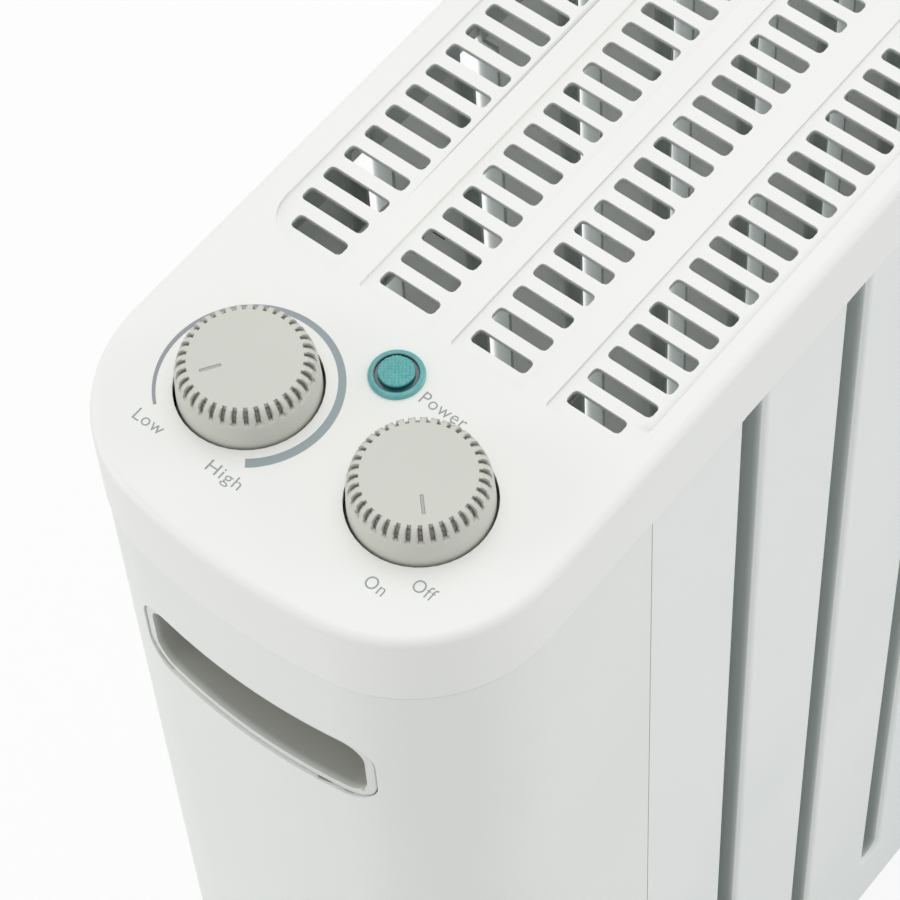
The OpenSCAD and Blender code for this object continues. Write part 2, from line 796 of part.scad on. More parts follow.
// Folded plate that carries the thermostat and the switch
module control_bracket() {
    back_x = seam_x - frame_t;
    front_x = -end_x + bracket_reach;
    color(steel_grey) difference() {
        union() {
            translate([front_x, -bracket_half, bracket_top_z - bracket_t])
                cube([back_x - front_x, 2 * bracket_half, bracket_t]);
            translate([back_x - bracket_t, -bracket_half, bracket_top_z - bracket_flange_h])
                cube([bracket_t, 2 * bracket_half, bracket_flange_h]);
        }
        for (side = [-1, 1]) {
            translate([knob_x, side * knob_y, bracket_top_z - bracket_t - 1])
                cylinder(r = bushing_r + thread_gap, h = bracket_t + 2);
            translate([back_x - bracket_t - 1, side * bracket_screw_y, bracket_screw_z]) rotate([0, 90, 0])
                cylinder(r = screw_r + seat_gap, h = bracket_t + 2);
        }
        translate([lamp_x, 0, bracket_top_z - bracket_t - 1])
            cylinder(r = lens_bore_r + 2, h = bracket_t + 2);
    }
}

// Strip from the partition that holds the overheat cut-out in the outlet air
module cutout_bracket() {
    strip_l = cutout_x - seam_x + cutout_strip_h;
    color(steel_grey) difference() {
        translate([seam_x, cutout_y, cutout_z - cutout_strip_h / 2]) {
            cube([strip_l, frame_t, cutout_strip_h]);
            cube([frame_t, cutout_foot_l, cutout_strip_h]);
        }
        translate([cutout_x, cutout_y - 1, cutout_z]) rotate([-90, 0, 0])
            cylinder(r = cutout_neck_r + running_gap, h = frame_t + 2);
    }
}

module overheat_cutout() {
    color(dark_grey) translate([cutout_x, cutout_y, cutout_z]) rotate([90, 0, 0]) {
        cylinder(r = cutout_r, h = cutout_h);
        translate([0, 0, -frame_t - 1]) cylinder(r = cutout_neck_r, h = frame_t + 2);
        for (side = [-1, 1]) translate([side * cutout_r / 2 - tab_t / 2, -tab_w / 2, cutout_h])
            cube([tab_t, tab_w, tab_l]);
    }
}

// What a knob's notches leave: they run over its shoulder at an even depth and end at its face
module notch_floor(face_r, shoulder_z) {
    floor_r = knob_edge_r - notch_depth;
    polygon([
        [0, 0], [face_r + floor_r, 0], [face_r + floor_r, shoulder_z],
        [face_r + floor_r * cos(45), shoulder_z + floor_r * sin(45)],
        [face_r, shoulder_z + floor_r], [face_r, knob_h + 1], [0, knob_h + 1]
    ]);
}

// Knob with its mark pointing along +X, its axis at the origin and the top plate at z = 0
module knob() {
    inner_top = knob_h - knob_wall - 1;
    shoulder_z = knob_h - knob_edge_r;
    face_r = knob_top_r - knob_edge_r;
    difference() {
        rotate_extrude() difference() {
            union() {
                polygon([
                    [0, -knob_sink], [knob_r, -knob_sink], [knob_r, 0], [knob_r - 0.4, knob_band_h],
                    [knob_top_r, shoulder_z], [0, shoulder_z]
                ]);
                translate([0, shoulder_z]) square([face_r, knob_edge_r]);
                translate([face_r, shoulder_z]) pie(knob_edge_r, 0, 90);
            }
            polygon([
                [knob_hub_r, -knob_sink - 1], [knob_r - knob_wall, -knob_sink - 1],
                [knob_r - knob_wall, 0], [knob_top_r - knob_wall, inner_top], [knob_hub_r, inner_top]
            ]);
        }
        translate([0, 0, -knob_sink - 1])
            cylinder(r = spindle_r + running_gap, h = knob_sink + 1 + inner_top);
        difference() {
            translate([0, 0, knob_band_h + 1]) linear_extrude(knob_h)
                for (i = [0:notch_n - 1]) rotate((i + 0.5) * 360 / notch_n)
                    polygon([[face_r / 2, -notch_w / 4], [2 * knob_r, -notch_w],
                        [2 * knob_r, notch_w], [face_r / 2, notch_w / 4]]);
            rotate_extrude() notch_floor(face_r, shoulder_z);
        }
        translate([face_r - mark_l - mark_from_edge, -mark_w / 2, knob_h - mark_depth])
            cube([mark_l, mark_w, 1]);
    }
}

module thermostat_knob() {
    color(knob_grey) translate([knob_x, knob_y, top_z]) rotate([0, 0, low_mark_a]) knob();
}

module power_knob() {
    color(knob_grey) translate([knob_x, -knob_y, top_z]) rotate([0, 0, off_mark_a]) knob();
}

module spindle() {
    bottom = bracket_top_z - bracket_t - spindle_sink;
    top = top_z + knob_h - knob_wall - 1.5;
    color(steel_grey) translate([0, 0, bottom]) cylinder(r = spindle_r, h = top - bottom);
}

module thermostat_spindle() {
    translate([knob_x, knob_y, 0]) spindle();
}

module power_spindle() {
    translate([knob_x, -knob_y, 0]) spindle();
}

// Body under the bracket with a threaded bushing through it
module control_unit(length, width) {
    unit_top = bracket_top_z - bracket_t;
    difference() {
        union() {
            translate([-length / 2, -width / 2, unit_top - unit_t]) cube([length, width, unit_t]);
            translate([0, 0, unit_top]) cylinder(r = bushing_r, h = bracket_t + bushing_h);
        }
        translate([0, 0, unit_top - spindle_sink - seat_gap])
            cylinder(r = spindle_r + running_gap, h = spindle_sink + bracket_t + bushing_h + 2);
    }
    for (side = [-1, 1])
        translate([side * length / 4 - tab_w / 2, -tab_t / 2, unit_top - unit_t - tab_l])
            cube([tab_w, tab_t, tab_l]);
}

module thermostat_unit() {
    color(dark_grey) translate([knob_x, knob_y, 0]) control_unit(34, 32);
}

module power_switch() {
    color(dark_grey) translate([knob_x, -knob_y, 0]) control_unit(28, 28);
}

module spindle_nuts() {
    color(steel_grey) for (side = [-1, 1]) translate([knob_x, side * knob_y, bracket_top_z]) difference() {
        cylinder(r = nut_r, h = nut_h, $fn = 6);
        translate([0, 0, -1]) cylinder(r = bushing_r + thread_gap, h = nut_h + 2);
    }
}

// Clear lens: a flange on the plate, a low dome inside it and a stem through the plate
module lamp_lens() {
    color(lens_teal) translate([lamp_x, 0, top_z]) rotate_extrude() {
        square([lens_flange_r, lens_flange_h]);
        translate([0, -lens_stem_l]) square([lens_stem_r, lens_stem_l]);
        translate([0, lens_flange_h]) square([lens_r, lens_dome_h - lens_flange_h]);
    }
}

module lamp_holder() {
    color(ceramic_white) translate([lamp_x, 0, 0]) {
        translate([0, 0, lamp_bottom_z]) cylinder(r = lens_stem_r, h = lamp_body_h);
        translate([0, 0, plate_under_z - lamp_ring_h])
            tube(lens_bore_r + 2.4, lens_stem_r + running_gap, lamp_ring_h);
        for (side = [-1, 1]) translate([-tab_t / 2, side * 2.5 - lamp_tab_w / 2, lamp_bottom_z - lamp_tab_l])
            cube([tab_t, lamp_tab_w, lamp_tab_l]);
    }
}

// Aluminium star section pressed on a heating rod
module element_fins(side) {
    x0 = seam_x + fin_gap;
    x1 = far_seam_x - fin_gap;
    translate([x0, side * element_y, element_z]) rotate([90, 0, 90]) linear_extrude(x1 - x0) difference() {
        union() {
            circle(r = hub_r);
            for (a = [0:45:315]) rotate(a) translate([0, -fin_t / 2]) square([fin_reach, fin_t]);
        }
        circle(r = rod_r + running_gap);
    }
}

module front_element_fins() {
    color(fin_silver) element_fins(-1);
}

module rear_element_fins() {
    color(fin_silver) element_fins(1);
}

module element_rod(side) {
    x0 = seam_x - frame_t - rod_over;
    x1 = far_seam_x + frame_t + rod_over;
    translate([x0, side * element_y, element_z]) rotate([0, 90, 0]) {
        cylinder(r = rod_r, h = x1 - x0);
        translate([0, 0, -stud_l]) cylinder(r = stud_r, h = x1 - x0 + 2 * stud_l);
    }
}

module front_element_rod() {
    color(steel_grey) element_rod(-1);
}

module rear_element_rod() {
    color(steel_grey) element_rod(1);
}

// Bush drawn for a hole whose plate reaches from x = -frame_t to x = 0
module ceramic_bush() {
    rotate([0, 90, 0]) {
        translate([0, 0, -frame_t - bush_flange_t]) tube(bush_flange_r, rod_r + running_gap, bush_flange_t);
        translate([0, 0, -frame_t]) tube(bush_r, rod_r + running_gap, frame_t + 5);
    }
}

module ceramic_bushes() {
    color(ceramic_white) for (side = [-1, 1]) {
        translate([seam_x, side * element_y, element_z]) ceramic_bush();
        translate([far_seam_x, side * element_y, element_z]) mirror([1, 0, 0]) ceramic_bush();
    }
}

module tilt_switch() {
    color(dark_grey) translate([tilt_x, tilt_y, pan_top_z]) {
        translate([-tilt_l / 2, -tilt_w / 2, tilt_flange_t]) cube([tilt_l, tilt_w, tilt_h - tilt_flange_t]);
        translate([-tilt_flange_l / 2, -tilt_w / 2, 0]) cube([tilt_flange_l, tilt_w, tilt_flange_t]);
    }
}

module terminal_block() {
    cell_w = terminal_w / terminal_n;
    color(ceramic_white)
    translate([seam_x - frame_t - terminal_d, -terminal_w / 2, terminal_z]) difference() {
        cube([terminal_d, terminal_w, terminal_h]);
        for (i = [0:terminal_n - 1]) translate([-1, (i + 0.5) * cell_w, terminal_h - 5]) rotate([0, 90, 0])
            cylinder(r = 2, h = 6);
    }
}

// Ring terminal on a rod's stud, with its crimped barrel upright and then turned about the stud
module eyelet(turn) {
    rotate([0, 90, 0]) translate([0, 0, -eyelet_t / 2]) tube(eyelet_r, stud_r + running_gap, eyelet_t);
    rotate([turn, 0, 0]) translate([0, 0, barrel_low]) cylinder(r = barrel_r, h = barrel_l);
}

// Round wire between two points
module wire(p, q, r) {
    d = q - p;
    flat = norm([d.x, d.y]);
    translate(p) rotate([0, atan2(flat, d.z), atan2(d.y, d.x)]) cylinder(r = r, h = norm(d));
}

// Wires from the terminal block up the partition, split to the thermostat, the switch and the lamp
module wiring_loom() {
    foot_point = [trunk_x, 0, terminal_z + terminal_h];
    split = [trunk_x, 0, trunk_top_z];
    unit_bottom = bracket_top_z - bracket_t - unit_t - tab_l;
    branch_x = knob_x + 6;
    under_z = terminal_z - lead_r;
    barrel_reach = barrel_low + barrel_l - barrel_r;
    inner_y = element_y - barrel_reach;
    color(dark_grey) {
        wire(foot_point, split, trunk_r);
        translate(split) sphere(r = trunk_r + bend_over);
        for (side = [-1, 1]) {
            knee = [branch_x, side * knob_y, unit_bottom - 14];
            wire(split, knee, branch_r);
            translate(knee) sphere(r = branch_r + bend_over);
            wire(knee, [branch_x, side * knob_y, unit_bottom], branch_r);
            wire([trunk_x, side * 10, under_z], [lead_x, side * element_y, element_z + barrel_reach], lead_r);
            translate([lead_x, side * element_y, element_z]) eyelet(0);
            translate([far_lead_x, side * element_y, element_z]) eyelet(side * 90);
        }
        wire(split, [lamp_x, 0, lamp_bottom_z - lamp_tab_l], lead_r);
        wire([trunk_x, -4, under_z + lead_r / 2], [tilt_x + 8, tilt_y + 5, tilt_top_z + lead_r / 2], lead_r);
        wire([far_lead_x, -inner_y, element_z], [far_lead_x, inner_y, element_z], lead_r);
    }
}

module wire_clips() {
    clip_zs = [terminal_z + terminal_h + clip_low, trunk_top_z - clip_high];
    reach = seam_x - frame_t - trunk_x;
    color(ceramic_white) for (z = clip_zs) translate([trunk_x, 0, z]) {
        tube(clip_r, trunk_r + running_gap, clip_h);
        translate([clip_r - 1, -clip_r + 1, 0]) cube([reach - clip_r + 1, 2 * clip_r - 2, clip_h]);
    }
}

// Bush for the mains cord in the rear of the control end cover
module cord_gland() {
    wall_y = body_d / 2 - cover_inset;
    nut_t = 4;
    collar_t = 2;
    nose_l = 6;
    color(dark_grey) translate([-end_x + gland_from_end, wall_y, base_z + gland_up])
        rotate([-90, 0, 0]) difference() {
            union() {
                translate([0, 0, -cover_t - nut_t]) cylinder(r = gland_r, h = cover_t + nut_t);
                translate([0, 0, -cover_t - nut_t]) cylinder(r = gland_flange_r, h = nut_t);
                cylinder(r = gland_flange_r, h = collar_t);
                translate([0, 0, collar_t])
                    cylinder(r1 = gland_flange_r - 2, r2 = gland_bore_r + 2, h = nose_l);
            }
            translate([0, 0, -cover_t - nut_t - 1])
                cylinder(r = gland_bore_r, h = cover_t + nut_t + collar_t + nose_l + 2);
        }
}

// Cross-bar that carries two castors, with its middle at x = 0
module foot() {
    low = castor_h;
    shoulder = body_d / 2 + 4;
    slope_end = castor_y - 6;
    pocket_half = castor_y - castor_plate_r - 8;
    pocket_w = foot_w - 2 * foot_wall;
    bolt_pocket_half = foot_bolt_y + 16;
    screw_x = far_seam_x - flange_l / 2 - foot_x;
    difference() {
        intersection() {
            translate([0, 0, low]) linear_extrude(foot_h) {
                square([foot_w, 2 * castor_y], center = true);
                for (side = [0, 1]) mirror([0, side]) translate([0, castor_y]) pie(foot_w / 2, 0, 90);
                for (side = [0, 1]) mirror([0, side]) translate([0, castor_y]) pie(foot_w / 2, 90, 180);
            }
            translate([-foot_w, 0, 0]) rotate([90, 0, 90]) linear_extrude(2 * foot_w) polygon([
                [-foot_l, low], [foot_l, low], [foot_l, low + foot_end_h], [slope_end, low + foot_end_h],
                [shoulder, low + foot_h], [-shoulder, low + foot_h], [-slope_end, low + foot_end_h],
                [-foot_l, low + foot_end_h]
            ]);
        }
        translate([-pocket_w / 2, -pocket_half, low - 1])
            cube([pocket_w, 2 * pocket_half, foot_end_h - foot_top_t + 1]);
        translate([-pocket_w / 2, -bolt_pocket_half, low - 1])
            cube([pocket_w, 2 * bolt_pocket_half, foot_h - foot_top_t + 1]);
        for (side = [-1, 1]) {
            translate([0, side * castor_y, low - 1])
                cylinder(r = kingpin_r + running_gap, h = kingpin_l + 1.5);
            translate([foot_bolt_out, side * foot_bolt_y, low])
                cylinder(r = bolt_r + seat_gap, h = foot_h + 1);
            translate([screw_x, side * frame_screw_y, low + foot_h - screw_head_h - seat_gap])
                cylinder(r = screw_head_r + 2 * seat_gap, h = foot_h);
        }
    }
}

module control_foot() {
    color(shell_white) translate([-foot_x, 0, 0]) mirror([1, 0, 0]) foot();
}

module far_foot() {
    color(shell_white) translate([foot_x, 0, 0]) foot();
}

// Castor pieces, drawn with the kingpin on the Z axis and the axle castor_trail along +X
module castor_fork() {
    hood_r = wheel_r + hood_gap + hood_t;
    hood_half = web_half + wheel_side_gap + wheel_w + 1;
    neck_z = wheel_r + 4;
    plate_z = 1.8 * wheel_r;
    bay_y = web_half + wheel_side_gap + wheel_w / 2 + 0.25;
    bay_w = wheel_w + wheel_side_gap + 0.5;
    difference() {
        union() {
            translate([0, 0, plate_z]) cylinder(r = castor_plate_r, h = castor_top_z - plate_z);
            translate([0, 0, castor_top_z - 1]) cylinder(r = kingpin_r, h = kingpin_l + seat_gap + 1);
            translate([0, web_half, 0]) rotate([90, 0, 0]) linear_extrude(2 * web_half) {
                polygon([
                    [-castor_plate_r, castor_top_z], [castor_plate_r, castor_top_z],
                    [castor_trail + 7, neck_z], [castor_trail + 7, wheel_r], [castor_trail - 7, wheel_r]
                ]);
                translate([castor_trail, wheel_r]) pie(7, 180, 270);
                translate([castor_trail, wheel_r]) pie(7, 270, 360);
                translate([castor_trail, wheel_r]) pie(hood_r - hood_t / 2, 40, 150);
            }
            translate([castor_trail, hood_half, wheel_r]) rotate([90, 0, 0]) linear_extrude(2 * hood_half)
                difference() {
                    pie(hood_r, 30, 160);
                    pie(hood_r - hood_t, 20, 170);
                }
        }
        translate([castor_trail, 0, wheel_r]) rotate([90, 0, 0])
            cylinder(r = axle_r + running_gap, h = 2 * hood_half, center = true);
        for (side = [-1, 1]) translate([castor_trail, side * bay_y, wheel_r]) rotate([90, 0, 0])
            cylinder(r = wheel_r + hood_gap, h = bay_w, center = true);
    }
}

// One wheel: a tyre with rounded shoulders on a dished hub
module castor_wheel() {
    shoulder = 2;
    rotate([90, 0, 0]) translate([0, 0, -wheel_w / 2]) difference() {
        rotate_extrude() {
            square([wheel_r - shoulder, wheel_w]);
            translate([0, shoulder]) square([wheel_r, wheel_w - 2 * shoulder]);
            translate([wheel_r - shoulder, wheel_w - shoulder]) pie(shoulder, 0, 90);
            translate([wheel_r - shoulder, shoulder]) pie(shoulder, 270, 360);
        }
        translate([0, 0, -1]) cylinder(r = axle_r + running_gap, h = wheel_w + 2);
    }
}

module castor_wheels() {
    wheel_y = web_half + wheel_side_gap + wheel_w / 2;
    for (side = [-1, 1]) translate([castor_trail, side * wheel_y, wheel_r]) castor_wheel();
}

module castor_axle() {
    length = 2 * (web_half + wheel_side_gap + wheel_w);
    translate([castor_trail, 0, wheel_r]) rotate([90, 0, 0]) cylinder(r = axle_r, h = length, center = true);
}

// Places its children at one castor: end is -1 at the controls, side is -1 at the front
module at_castor(end, side) {
    translate([end * foot_x, side * castor_y, 0]) children();
}

module control_front_fork() {
    color(dark_grey) at_castor(-1, -1) castor_fork();
}

module control_rear_fork() {
    color(dark_grey) at_castor(-1, 1) castor_fork();
}

module far_front_fork() {
    color(dark_grey) at_castor(1, -1) castor_fork();
}

module far_rear_fork() {
    color(dark_grey) at_castor(1, 1) castor_fork();
}

module control_front_wheels() {
    color(dark_grey) at_castor(-1, -1) castor_wheels();
}

module control_rear_wheels() {
    color(dark_grey) at_castor(-1, 1) castor_wheels();
}

module far_front_wheels() {
    color(dark_grey) at_castor(1, -1) castor_wheels();
}

module far_rear_wheels() {
    color(dark_grey) at_castor(1, 1) castor_wheels();
}

module control_front_axle() {
    color(steel_grey) at_castor(-1, -1) castor_axle();
}

module control_rear_axle() {
    color(steel_grey) at_castor(-1, 1) castor_axle();
}

module far_front_axle() {
    color(steel_grey) at_castor(1, -1) castor_axle();
}

module far_rear_axle() {
    color(steel_grey) at_castor(1, 1) castor_axle();
}

// Screw along +Z with its head under z = 0
module screw(r, head_r, head_h, length) {
    cylinder(r = r, h = length);
    translate([0, 0, -head_h]) cylinder(r = head_r, h = head_h);
}

module end_cover_screws() {
    color(fin_silver) for (x = boss_xs, side = [-1, 1]) translate([x, side * boss_y, base_z])
        screw(screw_r, screw_head_r, screw_head_h, pan_t + 16);
}

// Bolts through the feet and the base pan, each with its nut on the pan
module foot_screws() {
    color(fin_silver) for (x = foot_bolt_xs, side = [-1, 1])
        translate([x, side * foot_bolt_y, base_z - foot_top_t]) {
            screw(bolt_r, bolt_head_r, bolt_head_h, foot_top_t + pan_t + 6);
            translate([0, 0, foot_top_t + pan_t]) cylinder(r = bolt_head_r, h = 4, $fn = 6);
        }
}

module frame_screws() {
    color(fin_silver) for (x = frame_screw_xs, side = [-1, 1])
        translate([x, side * frame_screw_y, base_z]) screw(screw_r, screw_head_r, screw_head_h, pan_t + 8);
}

module cover_screws() {
    color(fin_silver) at_cover_screws() translate([0, 0, -frame_t])
        screw(screw_r, screw_head_r, screw_head_h, frame_t + cover_boss_bore - 0.5);
}

module bracket_screws() {
    color(fin_silver) for (side = [-1, 1])
        translate([seam_x - frame_t - bracket_t, side * bracket_screw_y, bracket_screw_z]) rotate([0, 90, 0])
            screw(screw_r, screw_head_r, screw_head_h, bracket_t + frame_t + 4);
}

top_cover();
control_end_cover();
far_end_cover();
front_panel();
rear_panel();
control_grip_cup();
far_grip_cup();
base_pan();
control_partition();
far_partition();
middle_stay();
control_bracket();
cutout_bracket();
thermostat_knob();
thermostat_spindle();
power_knob();
power_spindle();
thermostat_unit();
power_switch();
spindle_nuts();
lamp_lens();
lamp_holder();
front_element_fins();
rear_element_fins();
front_element_rod();
rear_element_rod();
ceramic_bushes();
overheat_cutout();
tilt_switch();
terminal_block();
wiring_loom();
wire_clips();
cord_gland();
control_foot();
far_foot();
control_front_fork();
control_rear_fork();
far_front_fork();
far_rear_fork();
control_front_wheels();
control_rear_wheels();
far_front_wheels();
far_rear_wheels();
control_front_axle();
control_rear_axle();
far_front_axle();
far_rear_axle();
end_cover_screws();
foot_screws();
frame_screws();
bracket_screws();
cover_screws();
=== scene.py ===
# %% [markdown]
# # Dressing the radiator heater
# The heater's solids come in as a fixed frame: every cover, panel, knob and castor is already in place.
# What is left is what the eye judges it by: the finish of each material, the lamp's lens, the printed
# words and scale, the faces of the wheels, and plain light with the camera where the photographer stood.

# %% Load the solids
import json
import math

import bpy
from mathutils import Matrix, Vector

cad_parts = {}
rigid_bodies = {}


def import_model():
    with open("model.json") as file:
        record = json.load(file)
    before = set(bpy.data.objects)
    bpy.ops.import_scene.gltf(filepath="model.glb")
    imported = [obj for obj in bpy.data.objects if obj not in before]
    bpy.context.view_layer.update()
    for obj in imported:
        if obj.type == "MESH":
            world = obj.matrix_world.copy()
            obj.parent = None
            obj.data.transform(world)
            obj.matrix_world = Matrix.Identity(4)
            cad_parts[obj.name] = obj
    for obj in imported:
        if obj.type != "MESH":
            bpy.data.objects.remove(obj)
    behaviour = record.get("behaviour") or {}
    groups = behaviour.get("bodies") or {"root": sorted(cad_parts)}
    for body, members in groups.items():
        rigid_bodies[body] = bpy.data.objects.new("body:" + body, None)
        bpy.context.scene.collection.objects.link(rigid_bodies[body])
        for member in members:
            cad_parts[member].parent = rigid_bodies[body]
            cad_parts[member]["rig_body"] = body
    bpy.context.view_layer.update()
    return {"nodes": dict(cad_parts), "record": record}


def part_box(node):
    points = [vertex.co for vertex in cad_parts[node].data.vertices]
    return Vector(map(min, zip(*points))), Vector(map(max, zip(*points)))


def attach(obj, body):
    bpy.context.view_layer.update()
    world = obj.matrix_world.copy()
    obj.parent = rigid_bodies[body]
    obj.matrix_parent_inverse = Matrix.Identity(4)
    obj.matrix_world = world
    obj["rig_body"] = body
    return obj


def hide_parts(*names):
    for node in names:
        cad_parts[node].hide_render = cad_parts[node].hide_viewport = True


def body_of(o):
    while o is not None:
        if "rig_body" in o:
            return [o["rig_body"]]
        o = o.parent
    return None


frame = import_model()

NODES = frame["nodes"]
SLOT_OF = {part["node"]: part["material_slot"] for part in frame["record"]["subparts"]}
print("solids in the frame:", len(NODES))

# %% [markdown]
# ## Sizes that the looks share
# The solids are in metres, but a maker thinks of this product in millimetres, so one short function turns
# the one into the other. Places are read from the solids' own boxes, never typed twice: the lamp and the
# knobs give theirs, and the top plate lies one knob height under the knobs' tops. The seam is the lower
# edge of the top cover's skirt, and the casing's ends are bowed to a radius of 190 mm.

# %% Sizes
def mm(*values):
    """Millimetres into metres: a number for one value, a tuple for more."""
    metres = tuple(value / 1000 for value in values)
    return metres[0] if len(metres) == 1 else metres


def middle(node):
    """The middle of a solid's box."""
    low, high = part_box(node)
    return (low + high) / 2


KNOB_H = mm(12.2)
THERMOSTAT = middle("thermostat_knob")
POWER = middle("power_knob")
LAMP = middle("lamp_lens")
KNOB_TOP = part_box("thermostat_knob")[1].z
PLATE_TOP = KNOB_TOP - KNOB_H
PANEL_FACE = -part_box("front_panel")[0].y
CASING_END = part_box("top_cover")[1].x
SEAM_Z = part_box("top_cover")[0].z
BOW_R = mm(190)
print("top plate at", round(PLATE_TOP * 1000, 1), "mm; lamp at", [round(v * 1000, 1) for v in LAMP])

# %% [markdown]
# ## Camera
# The four rows of equal slots in the photograph act like a ruler, so the camera's place, direction and
# lens were worked out from them. A long lens looks down at the control end from about 0.9 m away.
# Blender turns a camera by three angles about X, Y and Z, and an unturned camera looks straight down.

# %% Camera
camera_data = bpy.data.cameras.new("photo_camera")
camera_data.sensor_width = 36
camera_data.lens = 142.787
camera_data.clip_start = 0.05
camera_data.clip_end = 40
camera = bpy.data.objects.new("photo_camera", camera_data)
camera.location = mm(-563.312, -342.566, 1294.798)
camera.rotation_euler = [math.radians(angle) for angle in (32.20134, 2.33848, -51.30229)]
bpy.context.scene.collection.objects.link(camera)
bpy.context.scene.camera = camera
print("camera is", round((camera.location - THERMOSTAT).length, 3), "m from the knobs")

# %% [markdown]
# ## A way to write finishes
# A finish is a small network of nodes that ends in one shader. Wiring it by hand takes dozens of lines, so
# three helpers do it. `Wire` stands for one output and lets sums be written as sums: `noise * 0.2 + 0.4`
# adds two Math nodes. `Network` adds any other node: first the settings, then the values or wires of its
# inputs. `Finish` is the network of one material. Everything in it is mapped by Object coordinates, which
# on these pieces are plain metres, so a grain of 0.3 mm is 0.3 mm on every piece.

# %% Wires and networks
class Wire:
    """One output of a network's node. Sums written with it add Math nodes."""

    def __init__(self, network, socket):
        self.network = network
        self.socket = socket

    def maths(self, operation, *values):
        return self.network.maths(operation, *values)

    def __add__(self, other):
        return self.maths("ADD", self, other)

    def __sub__(self, other):
        return self.maths("SUBTRACT", self, other)

    def __rsub__(self, other):
        return self.maths("SUBTRACT", other, self)

    def __mul__(self, other):
        return self.maths("MULTIPLY", self, other)

    def __gt__(self, other):
        return self.maths("GREATER_THAN", self, other)

    def __lt__(self, other):
        return self.maths("LESS_THAN", self, other)

    __radd__ = __add__
    __rmul__ = __mul__


class Network:
    """The nodes of one material or world."""

    def __init__(self, tree):
        self.tree = tree

    def node(self, kind, settings=None, inputs=None, output=0):
        """Adds a node: its settings first, then the values or wires of its inputs."""
        made = self.tree.nodes.new("ShaderNode" + kind)
        for name, value in (settings or {}).items():
            setattr(made, name, value)
        for socket, value in (inputs or {}).items():
            self.put(made.inputs[socket], value)
        return Wire(self, made.outputs[output])

    def put(self, socket, value):
        """Joins a wire to a socket, or sets the socket's own value."""
        if isinstance(value, Wire):
            self.tree.links.new(value.socket, socket)
        else:
            socket.default_value = value

    def maths(self, operation, *values):
        return self.node("Math", {"operation": operation}, dict(enumerate(values)))


# %% Finishes
class Finish(Network):
    """A material made of nodes, round one Principled shader whose fixed inputs are given by name."""

    def __init__(self, name, fixed):
        self.material = bpy.data.materials.new(name)
        self.material.use_nodes = True
        super().__init__(self.material.node_tree)
        self.shader = self.tree.nodes["Principled BSDF"]
        for socket, value in fixed.items():
            self.put(self.shader.inputs[socket], value)
        self.place = self.node("TexCoord", output="Object")

    def noise(self, size, detail, stretch=(1, 1, 1)):
        """Cloudy noise from 0 to 1 whose features are about `size` metres wide."""
        place = self.node("Mapping", None, {"Vector": self.place, "Scale": stretch})
        return self.node("TexNoise", None, {"Vector": place, "Scale": 1 / size, "Detail": detail})

    def axis(self, name):
        """One coordinate of the place on the piece, in metres."""
        return self.node("SeparateXYZ", None, {"Vector": self.place}, output=name)

    def radius_round(self, centre):
        """How far a place lies from the upright line through a centre."""
        spot = self.node("Mapping", None, {"Vector": self.place, "Location": (-centre.x, -centre.y, 0),
                                           "Scale": (1, 1, 0)})
        return self.node("VectorMath", {"operation": "LENGTH"}, {0: spot}, output="Value")

    def between(self, mask, low, high):
        """The colour low where the mask is 0 and high where it is 1."""
        return self.node("Mix", {"data_type": "RGBA"}, {0: mask, 6: low, 7: high}, output=2)

    def soften(self, wire, low, high):
        """0 below low, 1 above high, and a smooth step between."""
        return self.node("MapRange", {"interpolation_type": "SMOOTHSTEP"},
                         {"Value": wire, "From Min": low, "From Max": high})

    def bump(self, height, strength, depth):
        """Relief too fine to model, which only bends the light."""
        self.put(self.shader.inputs["Normal"],
                 self.node("Bump", None, {"Height": height, "Strength": strength, "Distance": depth}))

    def paint(self, **wires):
        """Joins wires to the shader: base_color=..., roughness=..., and so on."""
        for name, wire in wires.items():
            self.put(self.shader.inputs[name.replace("_", " ").title()], wire)
        return self.material


def screen(red, green, blue):
    """A colour as a screen shows it, 0 to 255, in the linear values that a shader wants."""
    def linear(value):
        value /= 255
        return value / 12.92 if value < 0.04 else ((value + 0.055) / 1.055) ** 2.4
    return (linear(red), linear(green), linear(blue), 1)


print("a mid grey is", round(screen(128, 128, 128)[0], 3), "to a shader")

# %% [markdown]
# ## Moulded plastics
# The covers, the knobs and most small pieces are moulded plastic. On the real thing the colour is not quite
# even: it drifts a little over a hand's width, and the mould's spark-eroded skin breaks the gloss into a
# grain of a fraction of a millimetre. The grain is too fine to model, so it is bump, and the gloss wanders
# with it. One function makes all moulded plastics, because they differ only in numbers.

# %% Moulded plastics
CLOUD = mm(90)
GRAIN_DEPTH = mm(0.01)
GRAIN_WANDER, CLOUD_WANDER = 0.10, 0.06


def moulded(name, colour, drift=0.03, roughness=0.42, grain=mm(0.3), strength=0.25, coat=0.0, hidden=None):
    """A satin moulding: slow drift of colour, fine grain in the surface and in the gloss.

    `hidden` is a painted-shade colour for where little light comes, and the function that gives its mask."""
    finish = Finish(name, {"IOR": 1.49, "Coat Weight": coat, "Coat Roughness": 0.3})
    clouds = finish.noise(CLOUD, detail=3)
    speckle = finish.noise(grain, detail=1)
    darker = tuple(channel * (1 - drift) for channel in colour[:3]) + (1,)
    finish.bump(speckle, strength, GRAIN_DEPTH)
    tone = finish.between(finish.soften(clouds, 0.3, 0.7), darker, colour)
    # Painted shade: where the mask is 1, the colour turns to the given darker one.
    if hidden:
        shade_colour, mask = hidden
        tone = finish.between(mask(finish), tone, shade_colour)
    least = roughness - (GRAIN_WANDER + CLOUD_WANDER) / 2
    return finish.paint(base_color=tone, roughness=speckle * GRAIN_WANDER + clouds * CLOUD_WANDER + least)


